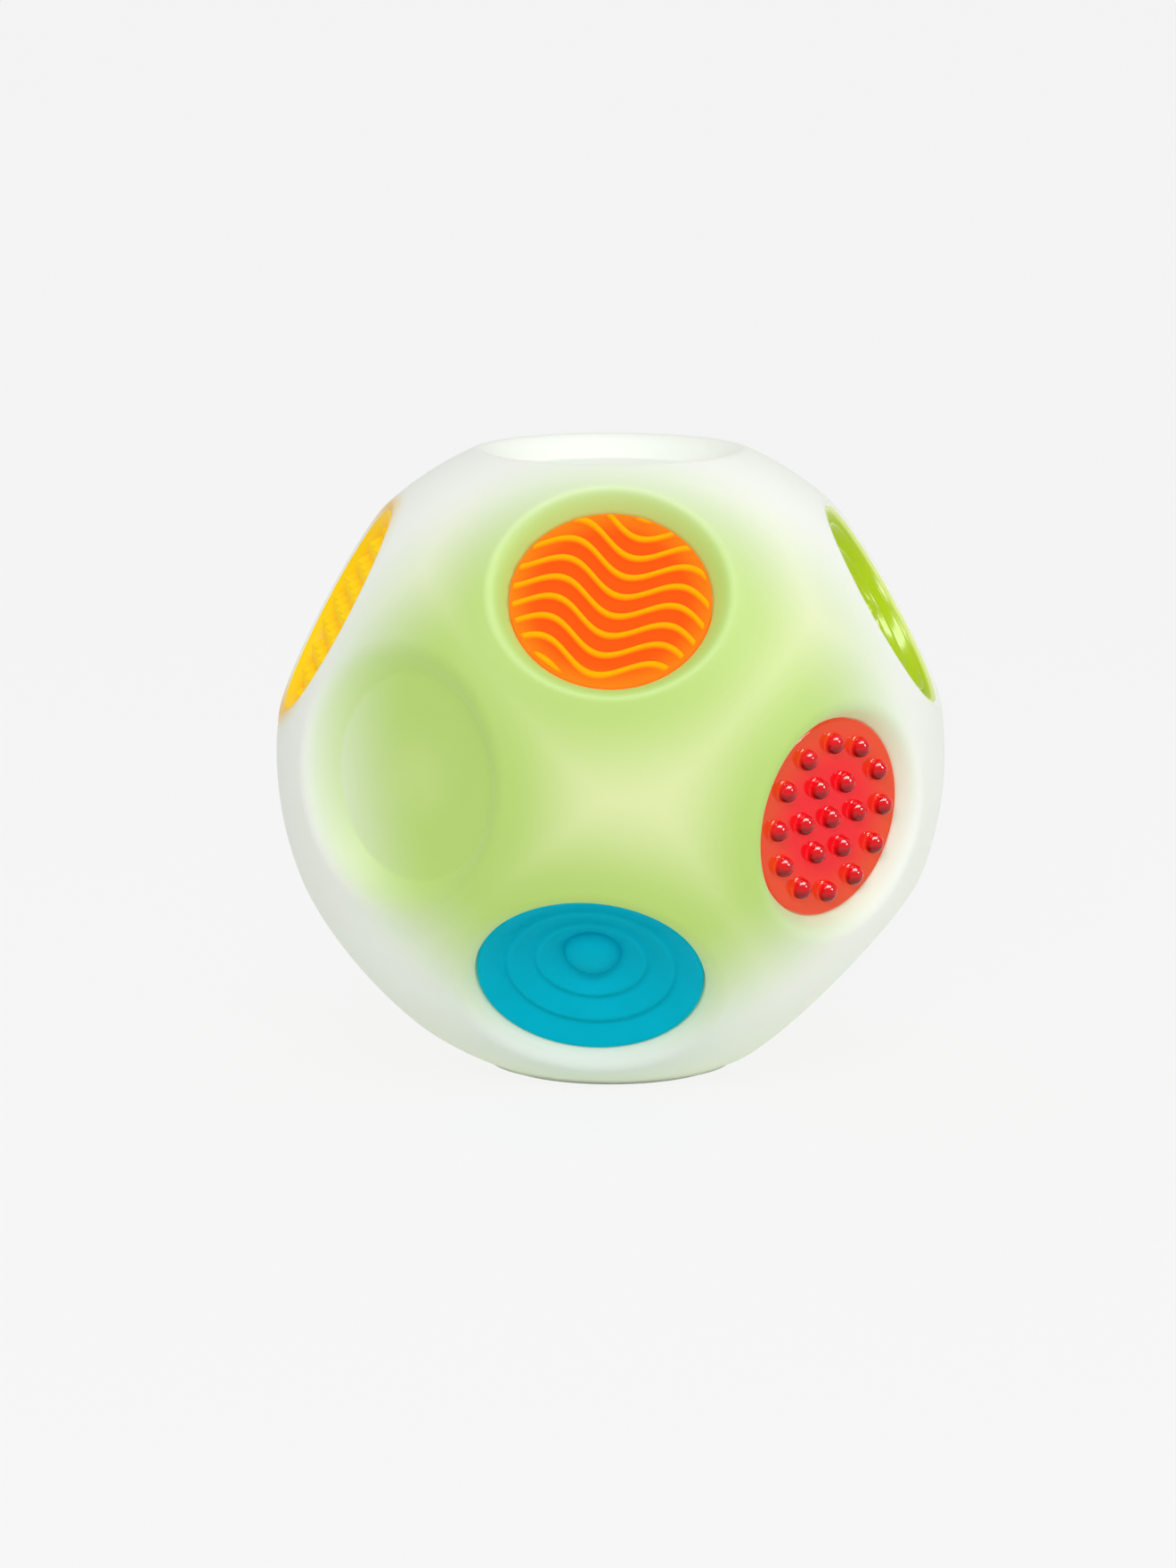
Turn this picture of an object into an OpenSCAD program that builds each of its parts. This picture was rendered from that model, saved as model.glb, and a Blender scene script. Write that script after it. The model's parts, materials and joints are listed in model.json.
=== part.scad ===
/* [Ball] */
// Outside diameter of the ball
ball_d = 150; // [148:1:160]
// Wall of the moulded shell
shell_wall = 2.4; // [2:0.1:2.8]

/* [Dimples] */
// Depth of a dimple's floor below the ball's surface
floor_depth = 11.4; // [10.8:0.1:12.2]
// Diameter of a plain dimple's floor
floor_d = 45.4; // [43:0.2:46]
// How far a plain dimple's wall slopes out past its floor
plain_run = 6; // [5:0.1:6.2]
// How far the wall round a pad or the button slopes out
rim_run = 3.8; // [3.2:0.1:4.6]
// Hollow of a plain dimple's floor
dish_depth = 1.5; // [0.8:0.1:2]

/* [Pads] */
// Diameter of a texture pad
pad_d = 44; // [42:0.5:44.5]
// Thickness of a pad's base
pad_t = 2.7; // [2.4:0.1:3]
// Gap between a pad and its recess
pad_gap = 0.25; // [0.15:0.05:0.4]
// Diameter of a pad's snap stem
stem_d = 6; // [5:0.5:8]
// Gap round the snap stem
stem_gap = 0.2; // [0.1:0.05:0.4]
// Diameter of a pad's locating pin
pin_d = 2.4; // [2:0.2:3]
// Distance of the locating pin from the stem
pin_offset = 14; // [12:0.5:16]

/* [Wave pad] */
// Distance between two ridges
ridge_pitch = 5.07; // [4.6:0.1:6]
// Width of a ridge
ridge_w = 1.7; // [1.2:0.1:2.2]
// Height of a ridge
ridge_h = 1.2; // [0.8:0.1:1.6]
// Length of one wave
wave_length = 26; // [24:0.5:30]
// Rise of a wave above its middle line
wave_rise = 3.1; // [2.4:0.1:3.6]

/* [Bump pad] */
// Diameter of a nub
nub_d = 4.6; // [4:0.1:5.2]
// Height of a nub
nub_h = 3; // [2.6:0.1:3.4]
// Distance from one ring of nubs to the next
nub_ring = 8.4; // [8:0.1:8.8]

/* [Ring bowl pad] */
// Height of the bowl's lip above the pad's base
bowl_lip_h = 2.3; // [1.8:0.1:2.6]
// Width of the bowl's lip
bowl_lip_w = 1.6; // [1.2:0.1:2]
// Drop of each ring step inside the bowl
bowl_step = 0.7; // [0.5:0.05:0.8]
// Thickness of the round ring ridges
bowl_ridge_d = 1.8; // [1.4:0.1:2.2]

/* [Pyramid pad] */
// Distance between two pyramids
pyramid_pitch = 7.6; // [7:0.2:9]
// Height of a pyramid
pyramid_h = 3.6; // [3:0.1:4]

/* [Button] */
// Diameter of the button's cap
cap_d = 49.8; // [48:0.2:50.4]
// Depth of the cap's edge below the ball's surface
cap_edge_depth = 8.6; // [8:0.1:9]
// Depth of the cap's hollow, from its edge to the foot of its knob
cap_dip = 7.6; // [7:0.1:7.8]
// Height of the knob in the middle of the cap
cap_knob_h = 2.4; // [1.8:0.1:3]
// Height of the skirt under the cap's edge
cap_skirt = 6.2; // [6:0.1:6.6]
// Gap between the cap and the ball
cap_gap = 0.35; // [0.3:0.05:0.6]
// Travel of the button
cap_travel = 2; // [1.5:0.1:2.4]
// Wall of the cap
cap_wall = 2; // [1.6:0.1:2.2]
// Diameter of the cap's guide tube
guide_d = 34; // [32:0.5:34.5]
// Diameter of the button cup's body
cup_d = 41.2; // [40.4:0.2:41.6]
// Wall of the button cup
cup_wall = 1.7; // [1.4:0.1:1.8]
// Depth of the cup below the ledge it rests on
cup_depth = 8; // [7.5:0.5:9]
// Diameter of the pedestal that carries the contact board
pedestal_d = 13.6; // [12:0.2:14]
// Diameter of the button spring, to the middle of its wire
spring_d = 18.8; // [17:0.2:20]
// Wire of the button spring
spring_wire = 0.9; // [0.7:0.1:1.1]
// Turns of the button spring
spring_turns = 5; // [4:1:6]
// Height of the rubber contact dome
dome_h = 3; // [2.8:0.1:3.4]

/* [Light and sound module] */
// Diameter of the flange that the ball stands on
flange_d = 49.6; // [48.6:0.2:50.4]
// Thickness of the flange
flange_t = 2.6; // [2.4:0.1:3]
// How far the flange stands out of the ball
flange_proud = 0.5; // [0.3:0.1:0.8]
// Gap round the flange
flange_gap = 0.25; // [0.15:0.05:0.4]
// Thickness of the rubber seal
seal_t = 0.8; // [0.6:0.1:1.2]
// Diameter of the canister
can_d = 41; // [40.4:0.2:41.4]
// Wall of the canister
can_wall = 1.8; // [1.5:0.1:2]
// Gap between the canister and the mouth of the ball
can_gap = 0.4; // [0.3:0.05:0.6]
// Height of the diffuser's dome
diffuser_h = 18; // [14:0.5:22]
// Wall of the diffuser
diffuser_wall = 1.2; // [1:0.1:1.6]

/* [Batteries] */
// Diameter of a size AAA cell
cell_d = 10.5; // [10:0.1:10.5]
// Length of a size AAA cell
cell_l = 44.5; // [43.5:0.1:44.5]
// Distance of a cell from the module's axis
cell_offset = 7.4; // [7.3:0.05:7.6]
// Wall of the battery box
box_wall = 1.1; // [0.9:0.1:1.2]
// Gap between the cells and the box
cell_gap = 0.25; // [0.2:0.05:0.35]
// Thickness of the battery door
door_t = 2; // [1.8:0.1:2.2]
// Gap round the battery door
door_gap = 0.2; // [0.15:0.05:0.3]
// How far the door lies behind the flange's face
door_inset = 0.4; // [0.3:0.1:0.5]
// Room for a spring or bump at a cell's end
contact_room = 1.6; // [1.4:0.1:2]
// Thickness of a contact plate
contact_t = 0.4; // [0.3:0.05:0.5]

/* [Power switch] */
// Travel of the switch knob
knob_travel = 3; // [2:0.2:3.4]
// Length of the knob
knob_l = 2.6; // [2.2:0.1:3]
// Width of the knob
knob_w = 2; // [1.6:0.1:2.2]
// Height of the switch body
switch_h = 3.5; // [3:0.1:5]

/* [Speaker] */
// Diameter of the speaker
speaker_d = 33.6; // [31:0.2:34]
// Height of the speaker's basket
speaker_h = 5.4; // [5:0.1:6]
// Diameter of the magnet
magnet_d = 16.4; // [14:0.2:17]
// Height of the magnet
magnet_h = 2.8; // [2.4:0.1:3]

/* [Board and lamps] */
// Diameter of the main board
board_d = 38; // [37.6:0.1:38.2]
// Thickness of the boards
board_t = 1.2; // [1:0.1:1.6]
// Diameter of a lamp
led_d = 5; // [4:0.2:5.4]
// Height of a lamp
led_h = 8; // [7:0.2:9]
// Number of lamps
led_count = 6; // [6]
// Distance of the lamps from the module's axis
led_offset = 13; // [12.6:0.1:13.4]
// Diameter of a lead
lead_d = 1.2; // [0.8:0.1:1.4]

/* [Hidden] */
$fn = 96;

// Extra length of a cut past the face that it opens, and of a joint into what it grows from
overrun = 0.5;

// Where each dimple looks: longitude from the front towards the right, then latitude
wave_angles = [0, 39];
wave_back_angles = [-134, -2];
bump_angles = [46, -6];
bump_back_angles = [180, 37];
bowl_angles = [84.5, 29.6];
pyramid_angles = [-84.5, 28.4];
button_lon_angle = -5;
mouth_angles = [0, -90];
pad_angles = [wave_angles, wave_back_angles, bump_angles, bump_back_angles, bowl_angles, pyramid_angles];
plain_angles = [[-42, 2], [88.5, -45], [-100, -42], [0, 90], [133, -3], [178, -41]];

// Heights along a dimple's axis, measured from the middle of the ball
ball_r = ball_d / 2;
floor_r = floor_d / 2;
pad_r = pad_d / 2;
seat_r = pad_r + pad_gap;
floor_h = ball_r - floor_depth;
pad_top_h = floor_h + pad_t;
lip_drop = 0.3;
lip_h = pad_top_h - lip_drop;
dish_steps = 8;

// The snap stem behind a pad
stem_r = stem_d / 2;
barb_proud = 0.5;
barb_h = 3;
barb_gap = 0.1;

// The wave pad's pattern
wave_turn = -16.6;
wave_shift = 1.46;
ridge_shift = -0.87;
ridge_rows = 5;
wave_steps = 26;
ridge_margin = 0.4;
ridge_root = 0.4;

// The bump, bowl and pyramid patterns
nub_turn = 3;
nub_rings = 2;
nubs_per_ring = 6;
bowl_ring_shares = [0.68, 0.38];
bowl_knob_share = 0.16;
bowl_lip_round = 0.4;
pyramid_turn = 45;
pyramid_margin = 0.5;
pyramid_land = 0.3;
pyramid_root = 0.3;

// The button, from the cap inwards
cap_r = cap_d / 2;
cap_edge_h = ball_r - cap_edge_depth;
cap_floor_h = cap_edge_h - cap_dip;
cap_bottom_h = cap_edge_h - cap_skirt;
cap_under_h = cap_floor_h - cap_wall;
cap_edge_round = 0.5;
tier_r_shares = [0.753, 0.5];
tier_foot_shares = [0.51, 0.83];
tier_top_shares = [0.34, 0.645];
cap_knob_share = 0.25;
tier_lean = 0.4;
knob_steps = 8;
cap_space_r = cap_r + cap_gap;
guide_r = guide_d / 2;
guide_wall = 1.6;
guide_gap = 0.3;
cup_flange_t = 1.8;
cup_stop_gap = 0.4;
cup_top_h = cap_bottom_h - cap_travel - cup_stop_gap;
ledge_h = cup_top_h - cup_flange_t;
cup_r = cup_d / 2;
cup_in_r = cup_r - cup_wall;
cup_gap = 0.3;
cup_floor_t = 2;
cup_floor_h = ledge_h - cup_depth;
cup_lip_t = 1.2;
hook_t = 1.9;
hook_gap = 0.4;
hook_rest_gap = 0.1;
hook_r = cup_in_r - hook_gap;
hook_top_h = cup_top_h - cup_lip_t - hook_rest_gap;
plunger_r = 2.6;
plunger_gap = 0.1;
plunger_l = 1.5;
spring_seat_margin = 0.75;
spring_seat_r = (spring_d + spring_wire) / 2 + spring_seat_margin;
pedestal_r = pedestal_d / 2;
contact_board_gap = 0.2;
contact_board_r = pedestal_r - contact_board_gap;
contact_board_t = 1;
dome_top_h = cap_under_h - plunger_l - plunger_gap;
dome_base_h = dome_top_h - dome_h;
pedestal_top_h = dome_base_h - contact_board_t;
dome_r = 4.6;
dome_top_r = 2.8;
dome_wall = 0.8;
lead_bore_r = 2.2;
cup_screw_circle = (cup_r + cup_gap + cap_space_r) / 2;
cup_screw_turn = 30;

// Screws: head and shank of the small and the door screw
screw_head_r = 1.5;
screw_head_h = 1.2;
screw_shank_r = 0.9;
screw_l = 6.4;
screw_gap = 0.15;
thread_gap = 0.05;
boss_r = 2.1;
boss_h = 5;
screw_count = 3;
slot_w = 0.6;
slot_depth = 0.6;
door_screw_head_r = 2.4;
door_screw_head_h = 1.1;
door_screw_r = 1.2;
door_screw_l = 8;

// The module, up from the face that the ball stands on
flange_r = flange_d / 2;
flange_chamfer = 0.5;
mouth_r = flange_r + flange_gap;
ball_z = sqrt(ball_r * ball_r - mouth_r * mouth_r) + flange_proud;
can_r = can_d / 2;
can_in_r = can_r - can_wall;
mouth_hole_r = can_r + can_gap;
seal_z = flange_t;
mouth_ledge_z = flange_t + seal_t;
flange_screw_circle = (mouth_hole_r + flange_r - flange_chamfer) / 2;
flange_screw_turn = 90;
head_inset = 0.4;

// The button looks down as far as its cup stays clear of the canister
cup_can_gap = 2.67;
cup_bottom_h = cup_floor_h - cup_floor_t;
button_drop_angle = acos((can_r + cup_can_gap) / norm([cup_bottom_h, cup_r]))
    - atan2(cup_r, cup_bottom_h);
button_angles = [button_lon_angle, -button_drop_angle];

// The battery box
box_in_r = cell_offset + cell_d / 2 + cell_gap;
box_r = box_in_r + box_wall;
box_foot_w = 1.4;
box_foot_r = box_r + box_foot_w;
box_foot_t = 1.4;
door_r = box_r;
door_top_z = door_inset + door_t;
door_hole_r = door_r + door_gap;
cell_z = door_top_z + contact_t + contact_room;
cell_top_z = cell_z + cell_l;
box_top_z = cell_top_z + contact_room + contact_t;
box_top_t = 1.6;
box_end_z = box_top_z + box_top_t;
cell_turn = 90;
cell_turns = [cell_turn, cell_turn + 120, cell_turn + 240];
cell_up = [1, 0, 1];
fin_turn = cell_turn + 180 / len(cell_turns);
cell_nub_r = 1.9;
cell_nub_h = 1.2;
post_r = 2;
post_gap = 0.4;
post_z = door_top_z + contact_t + post_gap;
fin_t = 0.8;
bar_w = 3;
bump_r = 1.2;
cell_spring_wire = 0.5;
cell_spring_r = 3.4;
cell_spring_end_r = 1.4;
cell_spring_turns = 2;
strip_w = 2.2;
strip_gap = 0.6;
strip_r = box_in_r - strip_gap;
strip_turn = 280;
tab_turn = 62;
tab_gap = 0.15;

// The power switch, at the back of the flange
switch_l = 9.4;
switch_w = 3.6;
switch_gap = 0.1;
switch_r = sqrt(can_in_r * can_in_r - switch_l * switch_l / 4) - switch_w / 2 - switch_gap;
knob_gap = 0.2;
knob_inset = 0.5;
knob_tail = 1.7;
slot_l = knob_l + knob_travel + 2 * knob_gap;
knob_grooves = 2;
knob_groove_w = 0.4;

// Sound holes in the flange
sound_hole_r = 0.9;
sound_circle = 17;
sound_first = 140;
sound_last = 400;
sound_step = 26;

// The speaker, face down above the battery box
speaker_ledge_w = 3.1;
speaker_ledge_t = 1.4;
speaker_gap = 1.4;
speaker_z = box_end_z + speaker_gap;
speaker_r = speaker_d / 2;
speaker_rim_w = 2.1;
speaker_rim_t = 1.2;
basket_t = 0.8;
basket_back_share = 0.57;
coil_r = 4;
cone_t = 0.4;
cone_gap = 0.2;
magnet_z = speaker_z + speaker_h;
magnet_r = magnet_d / 2;

// The main board and what stands on it
board_gap = 1.3;
board_z = magnet_z + magnet_h + board_gap;
board_top_z = board_z + board_t;
board_r = board_d / 2;
board_side_gap = 0.3;
board_seat_r = board_r + board_side_gap;
board_screw_circle = 15.9;
board_screw_turn = 90;
board_boss_h = 3.7;
board_web_w = 3;
can_rim_h = 1.5;
can_top_z = board_top_z + can_rim_h;
led_r = led_d / 2;
led_rim = 0.4;
led_rim_t = 1;
led_steps = 6;
blob_r = 4.6;
blob_h = 1.4;
chip_l = 2.4;
chip_w = 1.4;
chip_h = 0.7;
chip_circle = 8;
capacitor_r = 2.1;
capacitor_h = 6;
capacitor_at = [6.6, 0];
plug_l = 5;
plug_w = 4;
plug_h = 2.6;
plug_y = -13.4;
plug_x = -1.5;

// The diffuser over the lamps
spigot_gap = 0.2;
spigot_wall = 1;
collar_t = 1.6;
collar_gap = 0.1;
diffuser_steps = 12;

// Leads inside the module and from the button
lead_r = lead_d / 2;
riser_r = (speaker_r + can_in_r) / 2;
lead_notch_w = 2.6;
lead_sides = 8;
lead_steps = 4;
speaker_lead_turns = [150, 162];
switch_lead_turns = [79, 101];
button_lead_r = 0.8;
port_r = 1.3;
port_drop = 2.6;
port_z = board_z - port_drop;
port_x = -1.6;
port_bottom_y = -21.5;

// The button's lead inside the ball: out of the cup, over to the canister's port and the plug,
// with heights from the pedestal's top and from the port
button_lead_heights = [0, -5.2, -10.2];
button_lead_route = [
    [-2.4, -28.2, -10.6], [-2.1, -25.6, -6.4], [-1.8, -23, -2.4], [-1.6, -20.2, -0.2],
    [-1.5, -17.6, 0.7], [-1.5, -15.52, 1]
];

// Height of the ball's surface above the middle of the ball, at a distance from a dimple's axis
function surface_h(r) = sqrt(ball_r * ball_r - r * r);

// Unit direction of a dimple
function look(at) = [cos(at[1]) * sin(at[0]), -cos(at[1]) * cos(at[0]), sin(at[1])];

// A point on a circle round the module's axis
function around(r, turn, z) = [r * cos(turn), r * sin(turn), z];

// Puts its children on a dimple's axis: up is outwards, zero is the middle of the ball
module in_dimple(at)
    translate([0, 0, ball_z]) rotate([90 - at[1], 0, at[0]]) children();

// Puts its children evenly round the axis
module ring_of(count, radius, first = 0)
    for (i = [0 : count - 1]) rotate(first + i * 360 / count) translate([radius, 0, 0]) children();

// A round plate with its underside at a given height
module disc(radius, low, high)
    translate([0, 0, low]) cylinder(r = radius, h = high - low);

// Outline of a dimple's floor, hollowed by a depth in the middle
function floor_points(radius, height, hollow) = hollow == 0
    ? [[0, height], [radius, height]]
    : [for (i = [0 : dish_steps])
        let (share = i / dish_steps)
        [radius * share, height - hollow * (1 - share * share)]];

// What a dimple cuts out of the ball: a floor, a side and a wall that slopes out to the surface
module dimple_space(radius, floor_at, lip_at, run, hollow = 0) {
    slope = (surface_h(radius + run) - lip_at) / run;
    far = radius + 2 * run;
    side = lip_at > floor_at ? [[radius, lip_at]] : [];
    rotate_extrude() polygon(concat(
        floor_points(radius, floor_at, hollow), side,
        [[far, lip_at + slope * (far - radius)], [far, ball_r + overrun], [0, ball_r + overrun]]));
}

// The same dimple one wall further in, which the hollow of the shell keeps clear of
module dimple_back(radius, floor_at, lip_at, run) {
    slope = (surface_h(radius + run) - lip_at) / run;
    far = radius + 2 * run;
    drop = shell_wall * sqrt(1 + slope * slope);
    rotate_extrude() polygon([
        [0, floor_at - shell_wall], [radius + shell_wall, floor_at - shell_wall],
        [radius + shell_wall, lip_at + slope * shell_wall - drop],
        [far, lip_at + slope * (far - radius) - drop], [far, ball_r + overrun], [0, ball_r + overrun]]);
}

// Straight round recess for the module's flange, and the wall behind it
module mouth_space() disc(mouth_r, ball_z - mouth_ledge_z, ball_r + overrun);
module mouth_back()
    disc(mouth_r + shell_wall, ball_z - mouth_ledge_z - shell_wall, ball_r + overrun);

// Bosses that the screws of the flange and of the button cup bite into
module screw_bosses(circle, turn, height)
    ring_of(screw_count, circle, turn) disc(boss_r, height - shell_wall - boss_h, height);
module screw_pilots(circle, turn, height)
    ring_of(screw_count, circle, turn)
        disc(screw_shank_r + thread_gap, height - shell_wall - boss_h - overrun, height + overrun);

// The hollow of the ball, between the backs of the dimples
module ball_hollow() difference() {
    translate([0, 0, ball_z]) sphere(ball_r - shell_wall);
    for (at = plain_angles) in_dimple(at) dimple_back(floor_r, floor_h - dish_depth, floor_h, plain_run);
    for (at = pad_angles) in_dimple(at) dimple_back(seat_r, floor_h, lip_h, rim_run);
    in_dimple(button_angles) {
        dimple_back(cap_space_r, ledge_h, cap_edge_h, rim_run);
        screw_bosses(cup_screw_circle, cup_screw_turn, ledge_h);
    }
    in_dimple(mouth_angles) {
        mouth_back();
        screw_bosses(flange_screw_circle, -flange_screw_turn, ball_z - mouth_ledge_z);
    }
}

// One-piece milky shell: plain dimples, recesses for the pads, the button's well and the mouth
module ball_shell() color("honeydew") difference() {
    translate([0, 0, ball_z]) sphere(ball_r);
    ball_hollow();
    for (at = plain_angles) in_dimple(at)
        dimple_space(floor_r, floor_h, floor_h, plain_run, dish_depth);
    for (at = pad_angles) in_dimple(at) {
        dimple_space(seat_r, floor_h, lip_h, rim_run);
        disc(stem_r + stem_gap, floor_h - shell_wall - overrun, floor_h + overrun);
        translate([0, pin_offset, 0])
            disc(pin_d / 2 + stem_gap, floor_h - shell_wall - overrun, floor_h + overrun);
    }
    in_dimple(button_angles) {
        dimple_space(cap_space_r, ledge_h, cap_edge_h, rim_run);
        disc(cup_r + cup_gap, ledge_h - shell_wall - boss_h - overrun, ledge_h + overrun);
        screw_pilots(cup_screw_circle, cup_screw_turn, ledge_h);
    }
    in_dimple(mouth_angles) {
        mouth_space();
        disc(mouth_hole_r, ball_z - mouth_ledge_z - shell_wall - boss_h - overrun, ball_r);
        screw_pilots(flange_screw_circle, -flange_screw_turn, ball_z - mouth_ledge_z);
    }
}

// Base of a texture pad, with the snap stem and the pin that hold it in its recess
module pad_base() {
    stem_end = floor_h - shell_wall - barb_gap;
    rotate_extrude() polygon([
        [0, stem_end - barb_h], [stem_r - barb_proud, stem_end - barb_h],
        [stem_r + stem_gap + barb_proud, stem_end], [stem_r, stem_end], [stem_r, floor_h],
        [pad_r, floor_h], [pad_r, pad_top_h], [0, pad_top_h]]);
    translate([0, pin_offset, 0]) disc(pin_d / 2, floor_h - shell_wall, floor_h + overrun);
}

// Outline of one wavy ridge, drawn out to the right and back
function ridge_line(side) = [
    for (i = [0 : wave_steps])
        let (x = -pad_d / 2 + pad_d * i / wave_steps)
        [x, side - wave_rise * cos(360 * (x - wave_shift) / wave_length)]];
function backwards(list) = [for (i = [len(list) - 1 : -1 : 0]) list[i]];
module ridge()
    polygon(concat(ridge_line(-ridge_w / 2), backwards(ridge_line(ridge_w / 2))));

module wave_texture() {
    pad_base();
    intersection() {
        disc(pad_r - ridge_margin, pad_top_h - ridge_root, pad_top_h + ridge_h);
        rotate(wave_turn) for (row = [-ridge_rows : ridge_rows])
            translate([0, ridge_shift + row * ridge_pitch, pad_top_h - ridge_root])
                linear_extrude(ridge_root + ridge_h) ridge();
    }
}

// Pad with wavy ridges, and the one like it on the far side
module wave_pad() color("darkorange") in_dimple(wave_angles) wave_texture();
module wave_pad_back() color("darkorange") in_dimple(wave_back_angles) wave_texture();

module nub() translate([0, 0, pad_top_h + nub_h - nub_d / 2]) sphere(nub_d / 2);

module bump_texture() {
    pad_base();
    nub();
    for (ring = [1 : nub_rings]) ring_of(ring * nubs_per_ring, ring * nub_ring, nub_turn) nub();
}

// Pad with rings of round nubs, and the one like it on the far side
module bump_pad() color("red") in_dimple(bump_angles) bump_texture();
module bump_pad_back() color("red") in_dimple(bump_back_angles) bump_texture();

// Pad shaped as a shallow bowl with a lip, ring steps and round ring ridges
module ring_bowl_pad() color("yellowgreen") in_dimple(bowl_angles) {
    inner_r = pad_r - bowl_lip_w;
    step_r = [for (share = bowl_ring_shares) pad_r * share];
    lip_top_h = pad_top_h + bowl_lip_h;
    difference() {
        union() {
            pad_base();
            rotate_extrude() polygon([
                [inner_r - overrun, pad_top_h - overrun], [pad_r, pad_top_h - overrun],
                [pad_r, lip_top_h - bowl_lip_round], [pad_r - bowl_lip_round, lip_top_h],
                [inner_r + bowl_lip_round, lip_top_h], [inner_r, lip_top_h - bowl_lip_round],
                [inner_r - overrun, pad_top_h]]);
        }
        for (i = [0 : len(step_r) - 1])
            disc(step_r[i], pad_top_h - bowl_step * (i + 1), pad_top_h + overrun);
    }
    for (i = [0 : len(step_r) - 1])
        translate([0, 0, pad_top_h - bowl_step * i])
            rotate_extrude() translate([step_r[i] + bowl_ridge_d / 2, 0]) circle(d = bowl_ridge_d);
    intersection() {
        translate([0, 0, pad_top_h - bowl_step * len(step_r)]) sphere(pad_r * bowl_knob_share);
        disc(inner_r, floor_h, lip_top_h);
    }
}

// Pad with a close field of four-sided pyramids
module pyramid_pad() color("gold") in_dimple(pyramid_angles) {
    half = floor(pad_r / pyramid_pitch) + 1;
    point_r = (pyramid_pitch - pyramid_land) / sqrt(2);
    pad_base();
    intersection() {
        disc(pad_r - pyramid_margin, pad_top_h - pyramid_root, pad_top_h + pyramid_h + overrun);
        rotate(pyramid_turn) for (column = [-half : half], row = [-half : half])
            if (norm([column, row]) * pyramid_pitch < pad_r + pyramid_pitch / 2)
                translate([column * pyramid_pitch, row * pyramid_pitch, pad_top_h - pyramid_root])
                    rotate(45) cylinder(r1 = point_r, r2 = 0, h = pyramid_h + pyramid_root, $fn = 4);
    }
}

// Outline of the cap's top, from the middle of its knob out over its tiers to the edge
function tier_points(i) = [
    [cap_r * tier_r_shares[i] - tier_lean, cap_edge_h - cap_dip * tier_foot_shares[i]],
    [cap_r * tier_r_shares[i] + tier_lean, cap_edge_h - cap_dip * tier_top_shares[i]]];
function knob_points() = [
    for (i = [0 : knob_steps])
        let (turn = 90 - 90 * i / knob_steps)
        [cap_r * cap_knob_share * cos(turn), cap_floor_h + cap_knob_h * sin(turn)]];

// Stepped bowl that is pressed, with a knob in its middle, a guide tube, a hook rim and a plunger
module button_cap() color("deepskyblue") in_dimple(button_angles) rotate_extrude() polygon(concat(
    knob_points(), tier_points(1), tier_points(0), [
        [cap_r - cap_edge_round, cap_edge_h], [cap_r, cap_edge_h - cap_edge_round],
        [cap_r, cap_bottom_h], [cap_r - cap_wall, cap_bottom_h],
        [cap_r - cap_wall, cap_edge_h - cap_edge_round - cap_wall],
        [cap_r * tier_r_shares[0], cap_bottom_h], [guide_r, cap_bottom_h],
        [guide_r, hook_top_h], [hook_r, hook_top_h], [hook_r, hook_top_h - hook_t],
        [guide_r - guide_wall, hook_top_h - hook_t],
        [guide_r - guide_wall, cap_edge_h - cap_dip * tier_top_shares[1] - cap_wall],
        [spring_seat_r, cap_under_h], [plunger_r, cap_under_h],
        [plunger_r, dome_top_h + plunger_gap], [0, dome_top_h + plunger_gap]]));

// Cup that guides the cap: a screwed flange, a lip over the cap's hook and a hollow pedestal
module button_cup() color("whitesmoke") in_dimple(button_angles) difference() {
    rotate_extrude() polygon([
        [lead_bore_r, cup_bottom_h], [cup_r, cup_bottom_h], [cup_r, ledge_h],
        [cap_r, ledge_h], [cap_r, cup_top_h], [guide_r + guide_gap, cup_top_h],
        [guide_r + guide_gap, cup_top_h - cup_lip_t], [cup_in_r, cup_top_h - cup_lip_t],
        [cup_in_r, cup_floor_h], [pedestal_r, cup_floor_h], [pedestal_r, pedestal_top_h],
        [lead_bore_r, pedestal_top_h]]);
    ring_of(screw_count, cup_screw_circle, cup_screw_turn) {
        disc(screw_shank_r + screw_gap, ledge_h - overrun, cup_top_h + overrun);
        disc(screw_head_r + screw_gap, cup_top_h - screw_head_h, cup_top_h + overrun);
    }
}

// A screw whose head's top is at zero and whose shank points down, with a cross slot
module screw(head_r, head_h, shank_r, length) difference() {
    union() {
        disc(head_r, -head_h, 0);
        disc(shank_r, -head_h - length, overrun - head_h);
    }
    for (turn = [0, 90]) rotate(turn)
        translate([-head_r, -slot_w / 2, -slot_depth]) cube([2 * head_r, slot_w, slot_depth + overrun]);
}
module small_screw() screw(screw_head_r, screw_head_h, screw_shank_r, screw_l - screw_head_h);

module cup_screws() color("silver") in_dimple(button_angles)
    ring_of(screw_count, cup_screw_circle, cup_screw_turn) translate([0, 0, cup_top_h]) small_screw();

// A tube along a list of points: one ring of corners for each point, joined by triangles
function unit(v) = v / norm(v);
function along(points, i) =
    unit(points[min(i + 1, len(points) - 1)] - points[max(i - 1, 0)]);
function tube_corners(points, radius, sides, reference) = [
    for (i = [0 : len(points) - 1])
        let (t = along(points, i),
             u = unit(reference(i) - t * (t * reference(i))),
             v = cross(t, u))
        for (k = [0 : sides - 1])
            points[i] + radius * (cos(360 * k / sides) * u + sin(360 * k / sides) * v)];
function tube_faces(count, sides) = concat(
    [[for (k = [0 : sides - 1]) k]],
    [for (i = [0 : count - 2], k = [0 : sides - 1])
        let (next = (k + 1) % sides, low = i * sides, high = (i + 1) * sides)
        each [[low + k, high + k, high + next], [low + k, high + next, low + next]]],
    [[for (k = [sides - 1 : -1 : 0]) (count - 1) * sides + k]]);
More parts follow.
